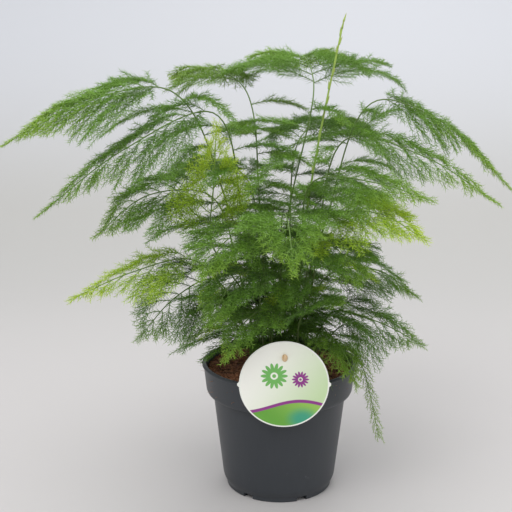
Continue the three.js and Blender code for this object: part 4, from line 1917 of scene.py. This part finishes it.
@dataclass
class NewShoot:
    """The tall new cane that still carries only scale leaves, more closely set towards its tip."""

    node: str = "new_shoot"
    root: Pair = (8, -3)
    bend: Point = (26, -6, 260)
    top: Point = (45, -6, 360)
    radius: Pair = (1.05, 0.6)
    tip: float = 7.0
    tip_gap: float = 0.4
    tip_bluntness: float = 0.6
    step: float = 3.0
    sides: int = 12
    first_scale: float = 60.0
    last_scale: float = 3.0
    scale_step: float = 13.5
    least_step: float = 0.3
    step_growth: float = 2.2
    scale_length: float = 6.5
    scale_lean: float = 12.0
    scale_rings: int = 6
    scale_out: float = 0.25
    scale_width: float = 1.3
    scale_narrowing: float = 0.25
    scale_end: float = 0.06
    finish: ShootFinish = ShootFinish()

    @cached_property
    def route(self) -> Route:
        """The shoot's path."""
        foot = [(*self.root, CANE.depth), (*self.root, CANE.straight_top)]
        return Route([*foot, self.bend, self.top])

    def build(self) -> None:
        """Makes the shoot and hands it over."""
        length = self.route.length
        tubes = Tubes(self.sides)
        rings = []
        for s in np.linspace(0, length - self.tip_gap, round(length / self.step)):
            taper = min(1.0, (length - s) / self.tip) ** self.tip_bluntness
            rings.append((self.route.place(s), self._radius(s) * taper, 0.0))
        tubes.add(rings)
        turn = 0
        s = self.first_scale
        while s < length - self.last_scale:
            tubes.add(self._scale_leaf(s, turn * GOLDEN_ANGLE))
            left = (length - s) / length
            s += self.scale_step * min(1.0, self.least_step + self.step_growth * left)
            turn += 1
        mesh = tubes.mesh("new_shoot_piece")
        mesh.shade_smooth()
        mesh.materials.append(self.finish.material())
        handed_over(placed(mesh.name, mesh), self.node)

    def _radius(self, s: float) -> float:
        """Gives the shoot's radius at a distance along it."""
        return between(self.radius, s / self.route.length)

    def _scale_leaf(self, s: float, turn: float) -> list[tuple[Place, float, float]]:
        """Gives the rings of a small pointed leaf that hugs the shoot.

        Args:
            s: Distance along the shoot.
            turn: Way that the leaf faces, in radians.

        Returns:
            Each ring's place, radius and age.
        """
        place = self.route.place(s)
        out = place.up * math.cos(turn) + place.side * math.sin(turn)
        wide = np.cross(place.forward, out)
        lean = math.radians(self.scale_lean)
        way = place.forward * math.cos(lean) + out * math.sin(lean)
        radius = self._radius(s)
        rings = []
        for t in np.linspace(0, 1, self.scale_rings):
            point = place.point + out * (radius * self.scale_out) + way * (self.scale_length * t)
            narrowing = 1 - self.scale_narrowing + self.scale_narrowing * math.cos(t)
            width = max(self.scale_end, self.scale_width * radius * math.sqrt(1 - t) * narrowing)
            rings.append((Place(point, way, wide, out), width, float(t) ** 2))
        return rings


@dataclass(frozen=True)
class SoftLight:
    """A square soft light: its place, what it faces, its side in metres and its power in watts."""

    name: str
    place: Point
    target: Point
    size: float
    power: float

    def build(self) -> None:
        """Adds the light."""
        lamp = bpy.data.lights.new(self.name, "AREA")
        lamp.size = self.size
        lamp.energy = self.power
        light = placed(self.name, lamp)
        light.location = self.place
        way = Vector(self.target) - Vector(self.place)
        light.rotation_euler = way.to_track_quat("-Z", "Y").to_euler()


@dataclass
class Studio:
    """The pale floor that sweeps up into a backdrop, the soft lights and the camera, all in metres."""

    floor_front: float = -6.0
    sweep_start: float = 0.55
    sweep_radius: float = 0.9
    sweep_steps: int = 24
    height: float = 2.4
    half_width: float = 6.0
    # The sheet's tone changes with depth: darker where the floor turns up into the backdrop, a painted
    # shade at the sweep's foot, then paler and cooler up the backdrop
    near: Colour = rgb(198, 195, 194)
    middle: Colour = rgb(184, 183, 180)
    far: Colour = rgb(203, 205, 210)
    depths: Point = (0.1, 0.85, 1.3)
    air: Colour = rgb(240, 241, 243)
    air_strength: float = 0.62
    camera_at: Point = (-0.0182, -0.741, 0.353)
    camera_pitch: float = 12.9
    lens: float = 70.3
    sensor: float = 36.0
    lights: tuple[SoftLight, ...] = (
        SoftLight("key", (-0.7, -1.3, 1.9), (0.0, 0.0, 0.15), size=1.5, power=26.0),
        SoftLight("fill", (1.6, -0.9, 1.0), (0.0, 0.0, 0.15), size=1.8, power=8.0),
        SoftLight("top", (0.1, 0.25, 2.2), (0.0, 0.1, 0.0), size=1.8, power=16.0),
        SoftLight("back", (0.4, 1.0, 1.3), (0.0, 0.0, 0.2), size=0.8, power=4.0))

    def build(self) -> None:
        """Makes the backdrop, the lights, the air's glow and the camera."""
        self._backdrop()
        for light in self.lights:
            light.build()
        world = bpy.data.worlds.new("studio_air")
        world.use_nodes = True
        glow = world.node_tree.nodes["Background"].inputs
        glow["Color"].default_value = self.air
        glow["Strength"].default_value = self.air_strength
        bpy.context.scene.world = world
        lens = bpy.data.cameras.new("camera")
        lens.lens = self.lens
        lens.sensor_width = self.sensor
        camera = placed("camera", lens)
        camera.location = self.camera_at
        camera.rotation_euler = (math.radians(90 - self.camera_pitch), 0, 0)
        bpy.context.scene.camera = camera
        bpy.context.scene.view_settings.view_transform = "Standard"

    def _backdrop(self) -> None:
        """Makes the floor and backdrop as one swept sheet."""
        line = [(self.floor_front, 0.0), (self.sweep_start, 0.0)]
        for j in range(1, self.sweep_steps + 1):
            angle = math.pi / 2 * j / self.sweep_steps
            line.append((self.sweep_start + self.sweep_radius * math.sin(angle),
                         self.sweep_radius * (1 - math.cos(angle))))
        line.append((line[-1][0], self.height))
        points = [(x, y, z) for y, z in line for x in (-self.half_width, self.half_width)]
        faces = [(2 * i, 2 * i + 1, 2 * i + 3, 2 * i + 2) for i in range(len(line) - 1)]
        mesh = bpy.data.meshes.new("backdrop")
        mesh.from_pydata(points, [], faces)
        mesh.shade_smooth()
        shader = Shader("backdrop_paper")
        depth = shader.axis("Y") * MM
        # The darker middle band where the floor turns up is painted shade
        base = shader.mix(depth.ramp(*self.depths[:2]), self.near, self.middle)
        base = shader.mix(depth.ramp(*self.depths[1:]), base, self.far)
        mesh.materials.append(shader.close(Base_Color=base, Roughness=0.9))
        placed("backdrop", mesh)


def main() -> None:
    """Builds every piece in order."""
    logging.basicConfig(level=logging.INFO, format="%(message)s")
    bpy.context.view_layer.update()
    Studio().build()
    NurseryPot().build()
    PottingSoil().build()
    PlantLabel().build()
    LabelStick().build()
    NewShoot().build()
    Foliage().build()


if __name__ == "__main__":
    main()
